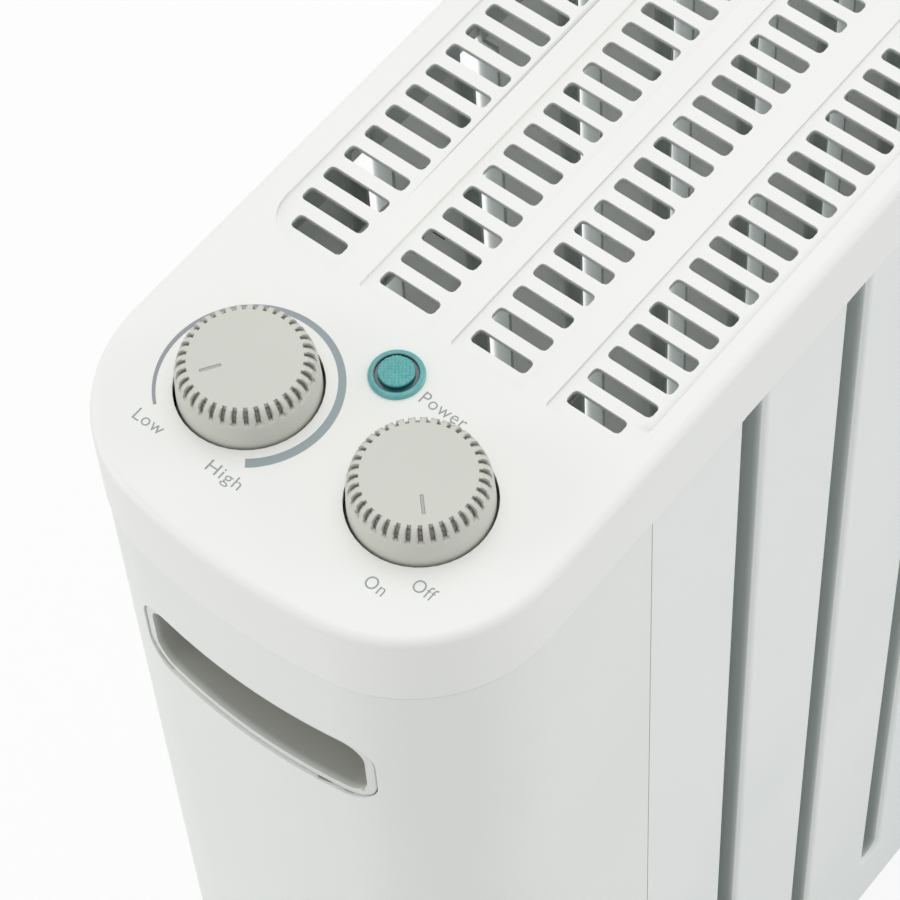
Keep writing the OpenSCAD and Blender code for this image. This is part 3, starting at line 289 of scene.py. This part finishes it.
dark_plastic = moulded("dark_plastic", screen(46, 47, 49), drift=0.2, roughness=0.5, grain=mm(0.5),
                       strength=0.5)
tread_plastic = moulded("tread_plastic", screen(38, 38, 39), drift=0.25, roughness=0.62, grain=mm(0.6),
                        strength=0.6)
wire_rubber = moulded("wire_rubber", screen(40, 40, 42), drift=0.2, roughness=0.55, grain=mm(0.8),
                      strength=0.4)
pale_plastic = moulded("pale_plastic", screen(228, 222, 206), drift=0.05, roughness=0.35, coat=0.4)
print("plain mouldings:", dark_plastic.name, tread_plastic.name, wire_rubber.name, pale_plastic.name)

# %% [markdown]
# ## White covers and their hidden places
# The top cover, the end covers and the cups of the hand holds are satin white. Soft light from all round
# gets deeper into slots and hollows than it does in the photograph, so these are painted darker there. Each
# finish gets a mask, which is 0 on the outside and 1 in the hidden place, worked out from where on the
# heater a point lies. The mask for the slots stops short of the skirt: along the casing, across it, and
# round its corners, where along and across together count.

# %% White covers
PLATE_SKIN, SLOT_DARK = mm(1.1), mm(2.1)
CLEAR_OF_END, CLEAR_OF_PANEL, CORNER_REACH = mm(22), mm(7.5), mm(15)
LIP_SHADE, LIP_DARK = mm(1.1), mm(0.6)
HOLD_SHADE, HOLD_DARK = mm(1.5), mm(4)


def off_middle(finish):
    """How far a place lies from the casing's middle, along it and across it."""
    return [finish.maths("ABSOLUTE", finish.axis(name)) for name in "XY"]


def slot_shade_mask(finish):
    """Painted shade, 1 inside the casing below the top plate's skin: in the slots and under the knobs."""
    along, across = off_middle(finish)
    deep = 1 - finish.soften(finish.axis("Z"), PLATE_TOP - SLOT_DARK, PLATE_TOP - PLATE_SKIN)
    inside = (along < CASING_END - CLEAR_OF_END) * (across < PANEL_FACE - CLEAR_OF_PANEL)
    return deep * inside * (along + across < CASING_END + CORNER_REACH)


def seam_shadow_mask(finish):
    """1 on the upper part of an end cover's rounded lip, where the skirt's shadow is painted."""
    return finish.soften(finish.axis("Z"), SEAM_Z - LIP_SHADE, SEAM_Z - LIP_DARK)


def hold_shade_mask(finish):
    """Painted shade: 1 in the depth of a hand hold, counted from the bowed end of the casing."""
    along, across = off_middle(finish)
    depth = CASING_END - along - across * across * (0.5 / BOW_R)
    return finish.soften(depth, HOLD_SHADE, HOLD_DARK)


# Painted shade in the slots and under the knobs of the top cover.
cover_plastic = moulded("cover_plastic", screen(243, 243, 239), drift=0.02,
                        hidden=(screen(186, 190, 187), slot_shade_mask))
# Painted shadow of the skirt's edge on the end covers' lips.
shell_plastic = moulded("shell_plastic", screen(237, 239, 234), drift=0.02, roughness=0.46,
                        hidden=(screen(150, 152, 148), seam_shadow_mask))
# Painted shade down the hand holds.
cup_plastic = moulded("cup_plastic", screen(228, 229, 225), drift=0.03, roughness=0.5,
                      hidden=(screen(178, 179, 171), hold_shade_mask))
print("white covers:", cover_plastic.name, shell_plastic.name, cup_plastic.name)

# %% [markdown]
# ## Knobs
# The knobs are a warm grey, with notches cut into their rounded shoulder. Seen from the flat face outwards,
# the shoulder is a quarter circle, so a point's distance from the middle of that circle tells how far it
# lies under the shoulder's skin. What lies deeper is the floor or a wall of a notch, and gets painted shade.

# %% Knobs
FACE_R, SHOULDER_R = mm(14.7), mm(2.8)
NOTCH_SHADE, NOTCH_DARK = mm(0.15), mm(0.8)
NOTCH_FROM_FACE, NOTCH_FROM_PLATE = mm(0.3), mm(8)


def notch_shade_mask(finish):
    """Painted shade: 1 on the floors and walls of the knobs' notches, by depth inside the rounded shoulder.
    """
    radius = finish.maths("MINIMUM", finish.radius_round(THERMOSTAT), finish.radius_round(POWER))
    out = radius - FACE_R
    up = finish.maths("MAXIMUM", finish.axis("Z") - (KNOB_TOP - SHOULDER_R), 0.0)
    from_shoulder = finish.maths("SQRT", out * out + up * up)
    sunk = 1 - finish.soften(from_shoulder, SHOULDER_R - NOTCH_DARK, SHOULDER_R - NOTCH_SHADE)
    return sunk * (out > NOTCH_FROM_FACE) * (finish.axis("Z") > PLATE_TOP + NOTCH_FROM_PLATE)


# Painted shade in the notches of the knobs.
knob_plastic = moulded("knob_plastic", screen(209, 209, 200), drift=0.03, roughness=0.4, grain=mm(0.25),
                       hidden=(screen(150, 149, 138), notch_shade_mask))
print("knobs:", knob_plastic.name)

# %% [markdown]
# ## Powder coat
# The long panels are steel sheet, painted with powder that melts in an oven. As it flows it keeps a faint
# orange-peel: soft waves about two millimetres apart. That is what tells paint from plastic, so it gets
# its own finish, a touch glossier and cooler than the mouldings. The lips turned in beside the gaps are
# painted greyer, as painted shade where little light gets in. The back of the sheet, which shows through
# the slots from above, is painted a little lighter, as painted light.

# %% Powder coat
GAP_SHADE_FULL, GAP_SHADE_START = mm(4), mm(0.8)
BACK_FROM, BACK_FULL, BACK_END, BACK_OUT = mm(1.8, 1.4, 1.1, 0.9)

paint = Finish("panel_paint", {"IOR": 1.5, "Coat Weight": 0.12, "Coat Roughness": 0.2})
waves = paint.noise(mm(2.2), detail=1)
clouds = paint.noise(mm(120), detail=2)
fine = paint.noise(mm(0.4), detail=0)
paint.bump(waves + fine * 0.15, strength=0.22, depth=mm(0.02))
across = paint.maths("ABSOLUTE", paint.axis("Y"))
# Painted shade: the lips beside the gaps are greyer, fading out towards the outer face.
clear_of_gap_shade = paint.soften(across, PANEL_FACE - GAP_SHADE_FULL, PANEL_FACE - GAP_SHADE_START)
outer_coat = paint.between(paint.soften(clouds, 0.3, 0.7), screen(233, 236, 234), screen(238, 240, 237))
# Painted light: the back of the sheet, seen through the slots, is lighter.
painted_back_light = (paint.soften(across, PANEL_FACE - BACK_FROM, PANEL_FACE - BACK_FULL)
              * (1 - paint.soften(across, PANEL_FACE - BACK_END, PANEL_FACE - BACK_OUT)))
# The coat's colour holds the painted shade on the lips and the painted light on the sheet's back.
coat = paint.between(painted_back_light, paint.between(clear_of_gap_shade, screen(184, 192, 189), outer_coat),
                     screen(251, 252, 249))
panel_paint = paint.paint(base_color=coat, roughness=waves * 0.08 + 0.33)
print("panel finish:", panel_paint.name)

# %% [markdown]
# ## Metals
# Three metals hide inside: zinc-coated sheet with its frosty crystals, extruded aluminium fins with fine
# lines along the way they left the die, and bright plated screws. Crystals are a Voronoi pattern, whose
# cells each get one random grey, about 140 to the metre. Lines are noise stretched a hundred times along
# X. A pure metal mirrors the dark around it, so in the closed casing the zinc and the aluminium are made
# half metal, and keep a pale grey of their own.

# %% Metals
CRYSTALS = 140.0
HALF_METAL = 0.5

zinc = Finish("frame_steel", {"Metallic": HALF_METAL})
cells = zinc.node("TexVoronoi", {"feature": "F1"}, {"Vector": zinc.place, "Scale": CRYSTALS}, output="Color")
spangle = zinc.node("SeparateColor", None, {"Color": cells})
frost = zinc.noise(mm(1.2), detail=3)
zinc.bump(frost, strength=0.15, depth=mm(0.01))
frame_steel = zinc.paint(
    base_color=zinc.between(spangle * 0.7 + frost * 0.3, screen(204, 208, 205), screen(226, 229, 226)),
    roughness=spangle * 0.12 + frost * 0.12 + 0.5)

drawn = Finish("fin_aluminium", {"Metallic": HALF_METAL})
lines = drawn.noise(mm(0.4), detail=2, stretch=(0.01, 1, 1))
haze = drawn.noise(mm(20), detail=2)
drawn.bump(lines, strength=0.3, depth=mm(0.01))
fin_aluminium = drawn.paint(
    base_color=drawn.between(lines * 0.5 + haze * 0.5, screen(216, 219, 215), screen(238, 240, 236)),
    roughness=lines * 0.16 + 0.52)

plated = Finish("bright_steel", {"Metallic": 1.0})
turning = plated.noise(mm(0.3), detail=1)
stain = plated.noise(mm(3), detail=2)
plated.bump(turning, strength=0.12, depth=mm(0.01))
bright_steel = plated.paint(
    base_color=plated.between(stain, screen(188, 189, 190), screen(216, 216, 214)),
    roughness=turning * 0.10 + 0.18)
print("metals:", frame_steel.name, fin_aluminium.name, bright_steel.name)

# %% [markdown]
# ## Give every solid its finish
# The record names a material slot for each solid, and the finishes above have the same names, so one loop
# dresses the frame. Only the lens isn't in the list: it is modelled below and gets its finish there.

# %% Dress the solids
FINISHES = {
    "cover_plastic": cover_plastic, "shell_plastic": shell_plastic, "cup_plastic": cup_plastic,
    "panel_paint": panel_paint, "frame_steel": frame_steel, "knob_plastic": knob_plastic,
    "bright_steel": bright_steel, "dark_plastic": dark_plastic, "tread_plastic": tread_plastic,
    "wire_rubber": wire_rubber, "pale_plastic": pale_plastic, "fin_aluminium": fin_aluminium,
}


def wear(piece, material):
    """Replaces what a piece is painted with."""
    piece.data.materials.clear()
    piece.data.materials.append(material)


for node, slot in SLOT_OF.items():
    if slot in FINISHES:
        wear(NODES[node], FINISHES[slot])
print("solids dressed:", sum(slot in FINISHES for slot in SLOT_OF.values()))

# %% [markdown]
# ## Helpers for modelling
# New pieces are modelled the way they are by hand. Each starts from a primitive, is shaped in edit mode and
# is then moved into place in its mesh, so that its object stays at the origin, unturned. The operators
# work on whatever is selected, so everything is deselected first.

# %% Selecting and placing
def alone():
    """Leaves edit mode and deselects everything."""
    if bpy.context.object and bpy.context.object.mode != "OBJECT":
        bpy.ops.object.mode_set(mode="OBJECT")
    bpy.ops.object.select_all(action="DESELECT")


def pick(piece):
    """Makes a piece the only one selected, and the active one."""
    alone()
    piece.select_set(True)
    bpy.context.view_layer.objects.active = piece


def edit(piece):
    """Opens a piece in edit mode with all of it selected."""
    pick(piece)
    bpy.ops.object.mode_set(mode="EDIT")
    bpy.ops.mesh.select_all(action="SELECT")


def settle(piece, name, move=(0, 0, 0), turn=Matrix.Identity(4)):
    """Names a piece and puts its place in its mesh."""
    alone()
    bpy.context.view_layer.update()
    piece.data.transform(Matrix.Translation(move) @ turn @ piece.matrix_world)
    piece.matrix_world = Matrix.Identity(4)
    piece.name = piece.data.name = name


def turn_about_z(degrees):
    return Matrix.Rotation(math.radians(degrees), 4, "Z")


# %% Shaping and finishing
def tidy_mesh(piece, merge=mm(0.001)):
    """Merges doubled points and turns all faces outwards."""
    edit(piece)
    bpy.ops.mesh.remove_doubles(threshold=merge)
    bpy.ops.mesh.normals_make_consistent(inside=False)
    bpy.ops.object.mode_set(mode="OBJECT")


def smooth(piece, angle=32):
    """Shades a piece smooth, with edges sharper than the angle kept."""
    pick(piece)
    bpy.ops.object.shade_smooth_by_angle(angle=math.radians(angle))


def turned(name, profile, vertices=96):
    """A lathe-turned solid about Z: a disc that is pushed and scaled through each (radius, height)."""
    alone()
    radius, height = profile[0]
    bpy.ops.mesh.primitive_circle_add(vertices=vertices, radius=radius, fill_type="NGON",
                                      location=(0, 0, height))
    piece = bpy.context.object
    edit(piece)
    for next_radius, next_height in profile[1:]:
        bpy.ops.mesh.extrude_region_move(TRANSFORM_OT_translate={"value": (0, 0, next_height - height)})
        scale = next_radius / radius
        bpy.ops.transform.resize(value=(scale, scale, 1))
        radius, height = next_radius, next_height
    settle(piece, name)
    tidy_mesh(piece)
    return piece


def bar(name, size, centre, bevel, outer_width=1.0):
    """A block with bevelled edges, whose end away from the origin keeps a share of its width."""
    alone()
    bpy.ops.mesh.primitive_cube_add(size=1)
    piece = bpy.context.object
    piece.scale = size
    piece.location = centre
    settle(piece, name)
    for point in piece.data.vertices:
        if point.co.x > centre[0]:
            point.co.y *= outer_width
    edit(piece)
    bpy.ops.mesh.bevel(offset=bevel, segments=2, affect="EDGES")
    alone()
    return piece


def apply_all(piece):
    """Applies every modifier of a piece."""
    pick(piece)
    for modifier in list(piece.modifiers):
        bpy.ops.object.modifier_apply(modifier=modifier.name)


def join(name, *pieces):
    """Joins pieces into the first one."""
    pick(pieces[0])
    for piece in pieces[1:]:
        piece.select_set(True)
    bpy.ops.object.join()
    pieces[0].name = pieces[0].data.name = name
    return pieces[0]


# %% [markdown]
# ## Smooth skins for the rounded pieces
# The solids come in as loose triangles, so a rounded edge shows flat bands. A copy of each rounded piece
# gets its triangles joined and is shaded smooth, with edges sharper than thirty degrees kept, and stands
# in for its solid. The three covers have steps of a twentieth of a millimetre where their arcs meet their
# straight stretches, so their points are joined up to a tenth of a millimetre apart. Flat faces must stay
# flat to the eye, so the larger face at an edge leads the shading, and on all but the end covers the
# triangles of each flat are first dissolved into one face. No point moves further than it is joined over,
# so what changes is the way that light runs over a piece.

# %% Smooth skins
FINE, STEPPED = mm(0.01), mm(0.1)
FLAT_WITHIN = math.radians(0.2)
MERGE_OF = {
    "control_end_cover": STEPPED, "far_end_cover": STEPPED, "top_cover": STEPPED,
    "control_grip_cup": FINE, "far_grip_cup": FINE, "front_panel": FINE, "rear_panel": FINE,
    "thermostat_knob": FINE, "power_knob": FINE,
}


def skin(name, merge):
    """A joined copy of a solid, shaded smooth, that is shown in the solid's place."""
    source = NODES[name]
    piece = bpy.data.objects.new(name + "_skin", source.data.copy())
    bpy.context.scene.collection.objects.link(piece)
    tidy_mesh(piece, merge)
    if not name.endswith("_end_cover"):
        edit(piece)
        bpy.ops.mesh.dissolve_limited(angle_limit=FLAT_WITHIN)
    smooth(piece, angle=30)
    weigh = piece.modifiers.new("large_faces_lead", "WEIGHTED_NORMAL")
    weigh.keep_sharp = True
    weigh.mode = "FACE_AREA_WITH_ANGLE"
    apply_all(piece)
    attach(piece, body_of(source)[0])
    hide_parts(name)
    print(piece.name, "faces:", len(piece.data.polygons))


for name, merge in MERGE_OF.items():
    skin(name, merge)

# %% [markdown]
# ## The lamp's lens
# The lens is one clear teal moulding: a low flange on the plate, a sunk ring that looks dark because one
# sees down into the hole, and in its middle a raised disc of tiny pyramids that spreads the light. The
# body is turned from a disc, step by step: each pair below is a radius and a height over the plate, in
# millimetres.

# %% Lens body
FLANGE_R, RING_OUT_R, RING_IN_R, FIELD_R = 7.4, 5.65, 4.75, 4.6
lens_profile = [
    (5.9, -3.5), (5.9, -0.05), (FLANGE_R, -0.05), (FLANGE_R, 0.55), (7.25, 0.85), (6.95, 1.08), (6.5, 1.2),
    (5.95, 1.2), (5.75, 1.12), (RING_OUT_R, 0.95), (5.6, 0.55), (4.9, 0.55), (4.8, 1.4), (RING_IN_R, 1.75),
    (FIELD_R, 1.9),
]
lens_body = turned("lens_body", [mm(radius, height) for radius, height in lens_profile])
smooth(lens_body)
print("lens body faces:", len(lens_body.data.polygons))

# %% [markdown]
# The pyramids are a grid whose faces are poked upwards. Its rim is pushed down and filled to make a solid,
# and a cylinder cuts it round. In the photograph their rows run askew to the casing, so the grid is turned.

# %% Pyramids of the lens
FIELD_SQUARE, FIELD_ROWS, FIELD_Z, FIELD_DEPTH = mm(10.2), 11, mm(1.95), mm(0.5)
FIELD_TURN = 38
PYRAMID_H = mm(0.42)

alone()
bpy.ops.mesh.primitive_grid_add(x_subdivisions=FIELD_ROWS, y_subdivisions=FIELD_ROWS, size=FIELD_SQUARE,
                                location=(0, 0, FIELD_Z))
pyramids = bpy.context.object
edit(pyramids)
bpy.ops.mesh.poke(offset=PYRAMID_H)
settle(pyramids, "lens_pyramids", turn=turn_about_z(FIELD_TURN))
edit(pyramids)
bpy.ops.mesh.select_mode(type="EDGE")
bpy.ops.mesh.select_all(action="DESELECT")
bpy.ops.mesh.select_non_manifold()
bpy.ops.mesh.extrude_region_move(TRANSFORM_OT_translate={"value": (0, 0, -FIELD_DEPTH)})
bpy.ops.mesh.edge_face_add()
tidy_mesh(pyramids)

alone()
bpy.ops.mesh.primitive_cylinder_add(vertices=64, radius=mm(FIELD_R), depth=mm(4), location=(0, 0, mm(1.5)))
cutter = bpy.context.object
cut = pyramids.modifiers.new("round", "BOOLEAN")
cut.operation = "INTERSECT"
cut.object = cutter
cut.solver = "EXACT"
apply_all(pyramids)
bpy.data.objects.remove(cutter)
lens = join("lamp_jewel", lens_body, pyramids)
settle(lens, "lamp_jewel", move=(LAMP.x, LAMP.y, PLATE_TOP))
print("lens faces:", len(lens.data.polygons))

# %% [markdown]
# The lens is a clear dyed plastic, so its colour deepens where it is thick and where nothing bright lies
# under it. Rays through a real thickness would need much light, so the deepening is painted by distance
# from the lamp's axis instead, and a clear coat gives the gloss. The sunk ring is painted dark as shade,
# and the flange's outer rim gets a painted highlight.

# %% Lens finish
RIM_LIGHT = 0.45

glassy = Finish("lens_plastic", {"IOR": 1.5, "Roughness": 0.16, "Coat Weight": 0.8, "Coat Roughness": 0.04,
                                 "Transmission Weight": 0.15})
radius = glassy.radius_round(LAMP)
on_the_field = 1 - glassy.soften(radius, mm(4.4), mm(4.7))
# Painted shade: the sunk ring is dark.
ring_shade = glassy.soften(radius, mm(4.62), mm(4.8)) * (1 - glassy.soften(radius, mm(5.7), mm(6.3)))
# Painted highlight: the flange's outer rim is lighter.
rim_highlight = glassy.soften(radius, mm(6.5), mm(7.3))
mottle = glassy.noise(mm(1.3), detail=1)
flange_colour = glassy.between(mottle, screen(36, 148, 150), screen(84, 186, 184))
field_colour = glassy.between(mottle, screen(84, 178, 178), screen(126, 214, 212))
lit_colour = glassy.between(rim_highlight * RIM_LIGHT, glassy.between(on_the_field, flange_colour, field_colour),
                            screen(120, 206, 202))
lens_plastic = glassy.paint(base_color=glassy.between(ring_shade, lit_colour, screen(18, 92, 98)))
wear(lens, lens_plastic)
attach(lens, "casing")
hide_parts("lamp_lens")
print("lens finish:", lens_plastic.name)

# %% [markdown]
# ## Print on the plate
# The scale round the thermostat and the five words are pad-printed in grey ink. Ink has a thickness, a few
# hundredths of a millimetre, and modelling it keeps the print crisp from any side. The scale's ink is a
# little bluer where it runs behind the knob, so it has a finish of its own.

# %% Ink
INK_H = mm(0.06)
INK_GRAIN = mm(0.6)

ink = Finish("grey_ink", {"IOR": 1.45})
patchy = ink.noise(INK_GRAIN, detail=2)
print_ink = ink.paint(base_color=ink.between(patchy, screen(146, 152, 154), screen(160, 164, 165)),
                      roughness=patchy * 0.1 + 0.45)

fade = Finish("scale_ink", {"IOR": 1.45})
side = fade.axis("Y") - THERMOSTAT.y
grainy = fade.noise(INK_GRAIN, detail=2)
tint = fade.between(fade.soften(side, mm(-24), mm(24)), screen(150, 163, 166), screen(146, 150, 155))
scale_ink = fade.paint(base_color=fade.between(grainy * 0.3, tint, screen(168, 174, 176)),
                       roughness=grainy * 0.1 + 0.4)
print("inks:", print_ink.name, scale_ink.name)

# %% [markdown]
# The scale is a small upright rectangle, spun clockwise round the knob's axis from Low to High. Its inner
# edge is then drawn outwards, most at Low, so that the band grows from thin to thick. A point at Low can
# come out a hair before the start, which counts as nearly a full turn, so a turn well past the end is Low.

# %% Thermostat scale
SCALE_R = mm(24.5)
SCALE_THIN, SCALE_THICK = mm(0.85), mm(2.6)
SCALE_FROM, SCALE_SWEEP = math.radians(141), math.radians(283)
SCALE_STEPS = 120
START_SLACK = 0.2

alone()
bpy.ops.mesh.primitive_plane_add(size=1)
scale_arc = bpy.context.object
scale_arc.scale = (SCALE_THICK, 2 * INK_H, 1)
scale_arc.rotation_euler = (math.radians(90), 0, 0)
scale_arc.location = (SCALE_R - SCALE_THICK / 2, 0, 0)
settle(scale_arc, "thermostat_scale", turn=Matrix.Rotation(SCALE_FROM, 4, "Z"))
edit(scale_arc)
bpy.ops.mesh.spin(steps=SCALE_STEPS, angle=SCALE_SWEEP, center=(0, 0, 0), axis=(0, 0, 1))
bpy.ops.object.mode_set(mode="OBJECT")
for point in scale_arc.data.vertices:
    radius = math.hypot(point.co.x, point.co.y)
    turn = (SCALE_FROM - math.atan2(point.co.y, point.co.x)) % math.tau
    along = min(turn / SCALE_SWEEP, 1) if turn < SCALE_SWEEP + START_SLACK else 0
    if radius < SCALE_R - SCALE_THICK / 2:
        wanted = SCALE_R - (SCALE_THIN + (SCALE_THICK - SCALE_THIN) * along)
        point.co.x *= wanted / radius
        point.co.y *= wanted / radius
tidy_mesh(scale_arc)
settle(scale_arc, "thermostat_scale", move=(THERMOSTAT.x, THERMOSTAT.y, PLATE_TOP))
wear(scale_arc, scale_ink)
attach(scale_arc, "casing")
print("scale faces:", len(scale_arc.data.polygons))

# %% [markdown]
# The words are text objects, made a mesh, then sized to what the photograph shows: small thin letters
# that read from the control end. A small negative offset thins their strokes, and the extrusion gives the
# ink its thickness. They lie with their baseline across the heater. The table gives each word's middle on
# the plate, its length and its height, in millimetres.

# %% Words
WORDS = [
    ("Low", -253.9, 40.6, 9.0, 3.6),
    ("High", -255.0, 15.3, 10.6, 4.5),
    ("Power", -206.8, -16.1, 14.0, 3.6),
    ("On", -256.1, -34.4, 5.8, 3.6),
    ("Off", -249.9, -44.6, 6.4, 3.6),
]


def printed(word, x, y, length, height):
    """A word of ink on the plate, its middle at (x, y), read from the control end."""
    alone()
    bpy.ops.object.text_add()
    text = bpy.context.object
    text.data.body = word
    text.data.resolution_u = 4
    text.data.space_character = 1.08
    text.data.offset = -0.008
    text.data.extrude = 0.02
    pick(text)
    bpy.ops.object.convert(target="MESH")
    flat = bpy.context.object
    low = Vector([min(point.co[axis] for point in flat.data.vertices) for axis in range(3)])
    high = Vector([max(point.co[axis] for point in flat.data.vertices) for axis in range(3)])
    size = high - low
    fit = Matrix.Diagonal((mm(length) / size.x, mm(height) / size.y, 2 * INK_H / size.z, 1))
    flat.data.transform(fit @ Matrix.Translation(-(low + high) / 2))
    settle(flat, "word_" + word.lower(), move=(mm(x), mm(y), PLATE_TOP), turn=turn_about_z(-90))
    tidy_mesh(flat)
    wear(flat, print_ink)
    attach(flat, "casing")
    print(word, "faces:", len(flat.data.polygons))


for row in WORDS:
    printed(*row)

# %% [markdown]
# ## Knob marks
# Each knob has a shallow slot in its top that is filled with darker ink, so the setting reads at a glance.
# The fill is a slim bar with bevelled edges that turns with its knob. It is a hair smaller than the slot,
# and its top lies just under the knob's face. At rest the thermostat's mark points to Low and the power
# knob's mark points to Off.

# %% Knob marks
MARK_NEAR, MARK_L, MARK_W, MARK_H = mm(6.1), mm(5.6), mm(0.9), mm(0.4)
MARK_PLAY = mm(0.1)
MARK_MIDDLE_Z = KNOB_TOP - mm(0.27)
mark_ink = moulded("mark_ink", screen(180, 181, 175), drift=0.06, roughness=0.5)


def knob_mark(name, knob, degrees, body):
    """The filled slot of a knob, at an angle counted from the casing's length."""
    mark = bar(name, (MARK_L - MARK_PLAY, MARK_W - MARK_PLAY, MARK_H), (MARK_NEAR + MARK_L / 2, 0, 0),
               bevel=mm(0.12))
    settle(mark, name, move=(knob.x, knob.y, MARK_MIDDLE_Z), turn=turn_about_z(degrees))
    smooth(mark)
    wear(mark, mark_ink)
    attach(mark, body)
    print(name, "faces:", len(mark.data.polygons))


knob_mark("thermostat_mark", THERMOSTAT, 146, "thermostat_dial")
knob_mark("power_mark", POWER, -135, "power_dial")

# %% [markdown]
# ## Castor wheels
# The solids give each castor's twin wheels their true size. What they leave plain is the outer face, where
# such mouldings have a shallow dish with five ribs round its hub. The dished cover is turned like the
# lens, its ribs are blocks whose outer ends are pulled narrow, and each wheel gets its own copy.

# %% Wheel covers
RIBS = 5
RIB_SIZE, RIB_CENTRE = mm(8.2, 2.2, 0.6), mm(8.8, 0, 0.3)
cover_profile = [(14.5, -0.4), (14.5, 0.3), (14.2, 0.6), (12.9, 0.7), (12.4, 0.2), (5.2, 0.1), (4.9, 0.6),
                 (4.4, 0.7), (2.9, 0.7)]


def wheel_cover():
    """A ribbed wheel cover that looks along Z, its seat at z = 0."""
    disc = turned("wheel_cover", [mm(radius, height) for radius, height in cover_profile], vertices=48)
    ribs = []
    for number in range(RIBS):
        rib = bar("rib", RIB_SIZE, RIB_CENTRE, bevel=mm(0.15), outer_width=0.55)
        settle(rib, "rib", turn=turn_about_z(360 * number / RIBS))
        ribs.append(rib)
    return join("wheel_cover", disc, *ribs)


pattern = wheel_cover()
smooth(pattern)
for node in [name for name in NODES if name.endswith("_wheels")]:
    low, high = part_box(node)
    for side, word in ((-1, "front"), (1, "rear")):
        copy = bpy.data.objects.new(node + "_" + word + "_cover", pattern.data.copy())
        bpy.context.scene.collection.objects.link(copy)
        seat = Vector(((low.x + high.x) / 2, high.y if side > 0 else low.y, (low.z + high.z) / 2))
        settle(copy, copy.name, move=seat, turn=Matrix.Rotation(math.radians(-90 * side), 4, "X"))
        wear(copy, dark_plastic)
        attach(copy, body_of(NODES[node])[0])
    print(node, "got two covers")
bpy.data.objects.remove(pattern)

# %% [markdown]
# ## Floor
# The photograph is a shop picture: white all round, with light so soft that hardly a shadow falls. The
# floor is a pale matt sheet that glows, to the camera alone, for most of its white. What is left is a faint
# shadow under the heater, and the glow doesn't light it.

# %% Floor
FLOOR_GLOW = 0.88

alone()
bpy.ops.mesh.primitive_plane_add(size=12)
floor = bpy.context.object
floor.name = "floor"
ground = Finish("floor_paint", {"Roughness": 0.9})
cloudy = ground.noise(0.5, detail=2)
ground.paint(base_color=ground.between(cloudy, screen(242, 242, 241), screen(246, 246, 245)))
to_camera = ground.node("LightPath", output="Is Camera Ray")
glow = ground.node("Emission", None, {"Color": (1, 1, 1, 1), "Strength": 1.0})
surface = ground.node("MixShader", None,
                      {0: to_camera * FLOOR_GLOW, 1: Wire(ground, ground.shader.outputs[0]), 2: glow})
ground.put(ground.tree.nodes["Material Output"].inputs["Surface"], surface)
wear(floor, ground.material)
print("floor is", floor.dimensions.x, "m wide")

# %% [markdown]
# ## Light
# An even sky lights the heater from all round. Where the camera sees the sky itself, straight, through the
# lens or in a mirror image, it is plain white, which Light Path's rays can tell apart. A large soft lamp
# high above gives the tops their lead over the sides, and two smaller ones model the sides.

# %% Sky
world = bpy.data.worlds.new("studio")
world.use_nodes = True
bpy.context.scene.world = world
sky = Network(world.node_tree)
sky.tree.nodes.clear()
straight, through, mirrored = (sky.node("LightPath", output=ray)
                               for ray in ("Is Camera Ray", "Is Transmission Ray", "Is Glossy Ray"))
seen = sky.maths("MAXIMUM", sky.maths("MAXIMUM", straight, through), mirrored)
fill = sky.node("Background", None, {"Color": (0.97, 0.985, 1.0, 1), "Strength": 0.68})
white = sky.node("Background", None, {"Color": (1, 1, 1, 1), "Strength": 1.0})
both = sky.node("MixShader", None, {0: seen, 1: fill, 2: white})
sky.put(sky.tree.nodes.new("ShaderNodeOutputWorld").inputs["Surface"], both)
print("sky nodes:", len(sky.tree.nodes))

# %% Lamps
HEATER_MIDDLE = Vector((0, 0, 0.3))


def softbox(name, place, size, power):
    """A square lamp of a size in metres and a power in watts that looks at the heater's middle."""
    data = bpy.data.lights.new(name, "AREA")
    data.size = size
    data.energy = power
    lamp = bpy.data.objects.new(name, data)
    lamp.location = place
    lamp.rotation_euler = (HEATER_MIDDLE - Vector(place)).to_track_quat("-Z", "Y").to_euler()
    bpy.context.scene.collection.objects.link(lamp)


softbox("overhead", (0.5, 0.3, 2.8), size=2.4, power=19)
softbox("left_side", (-2.0, 2.0, 1.2), size=1.6, power=14)
softbox("right_side", (2.0, -2.0, 1.2), size=1.6, power=12)
bpy.context.scene.view_settings.view_transform = "Standard"
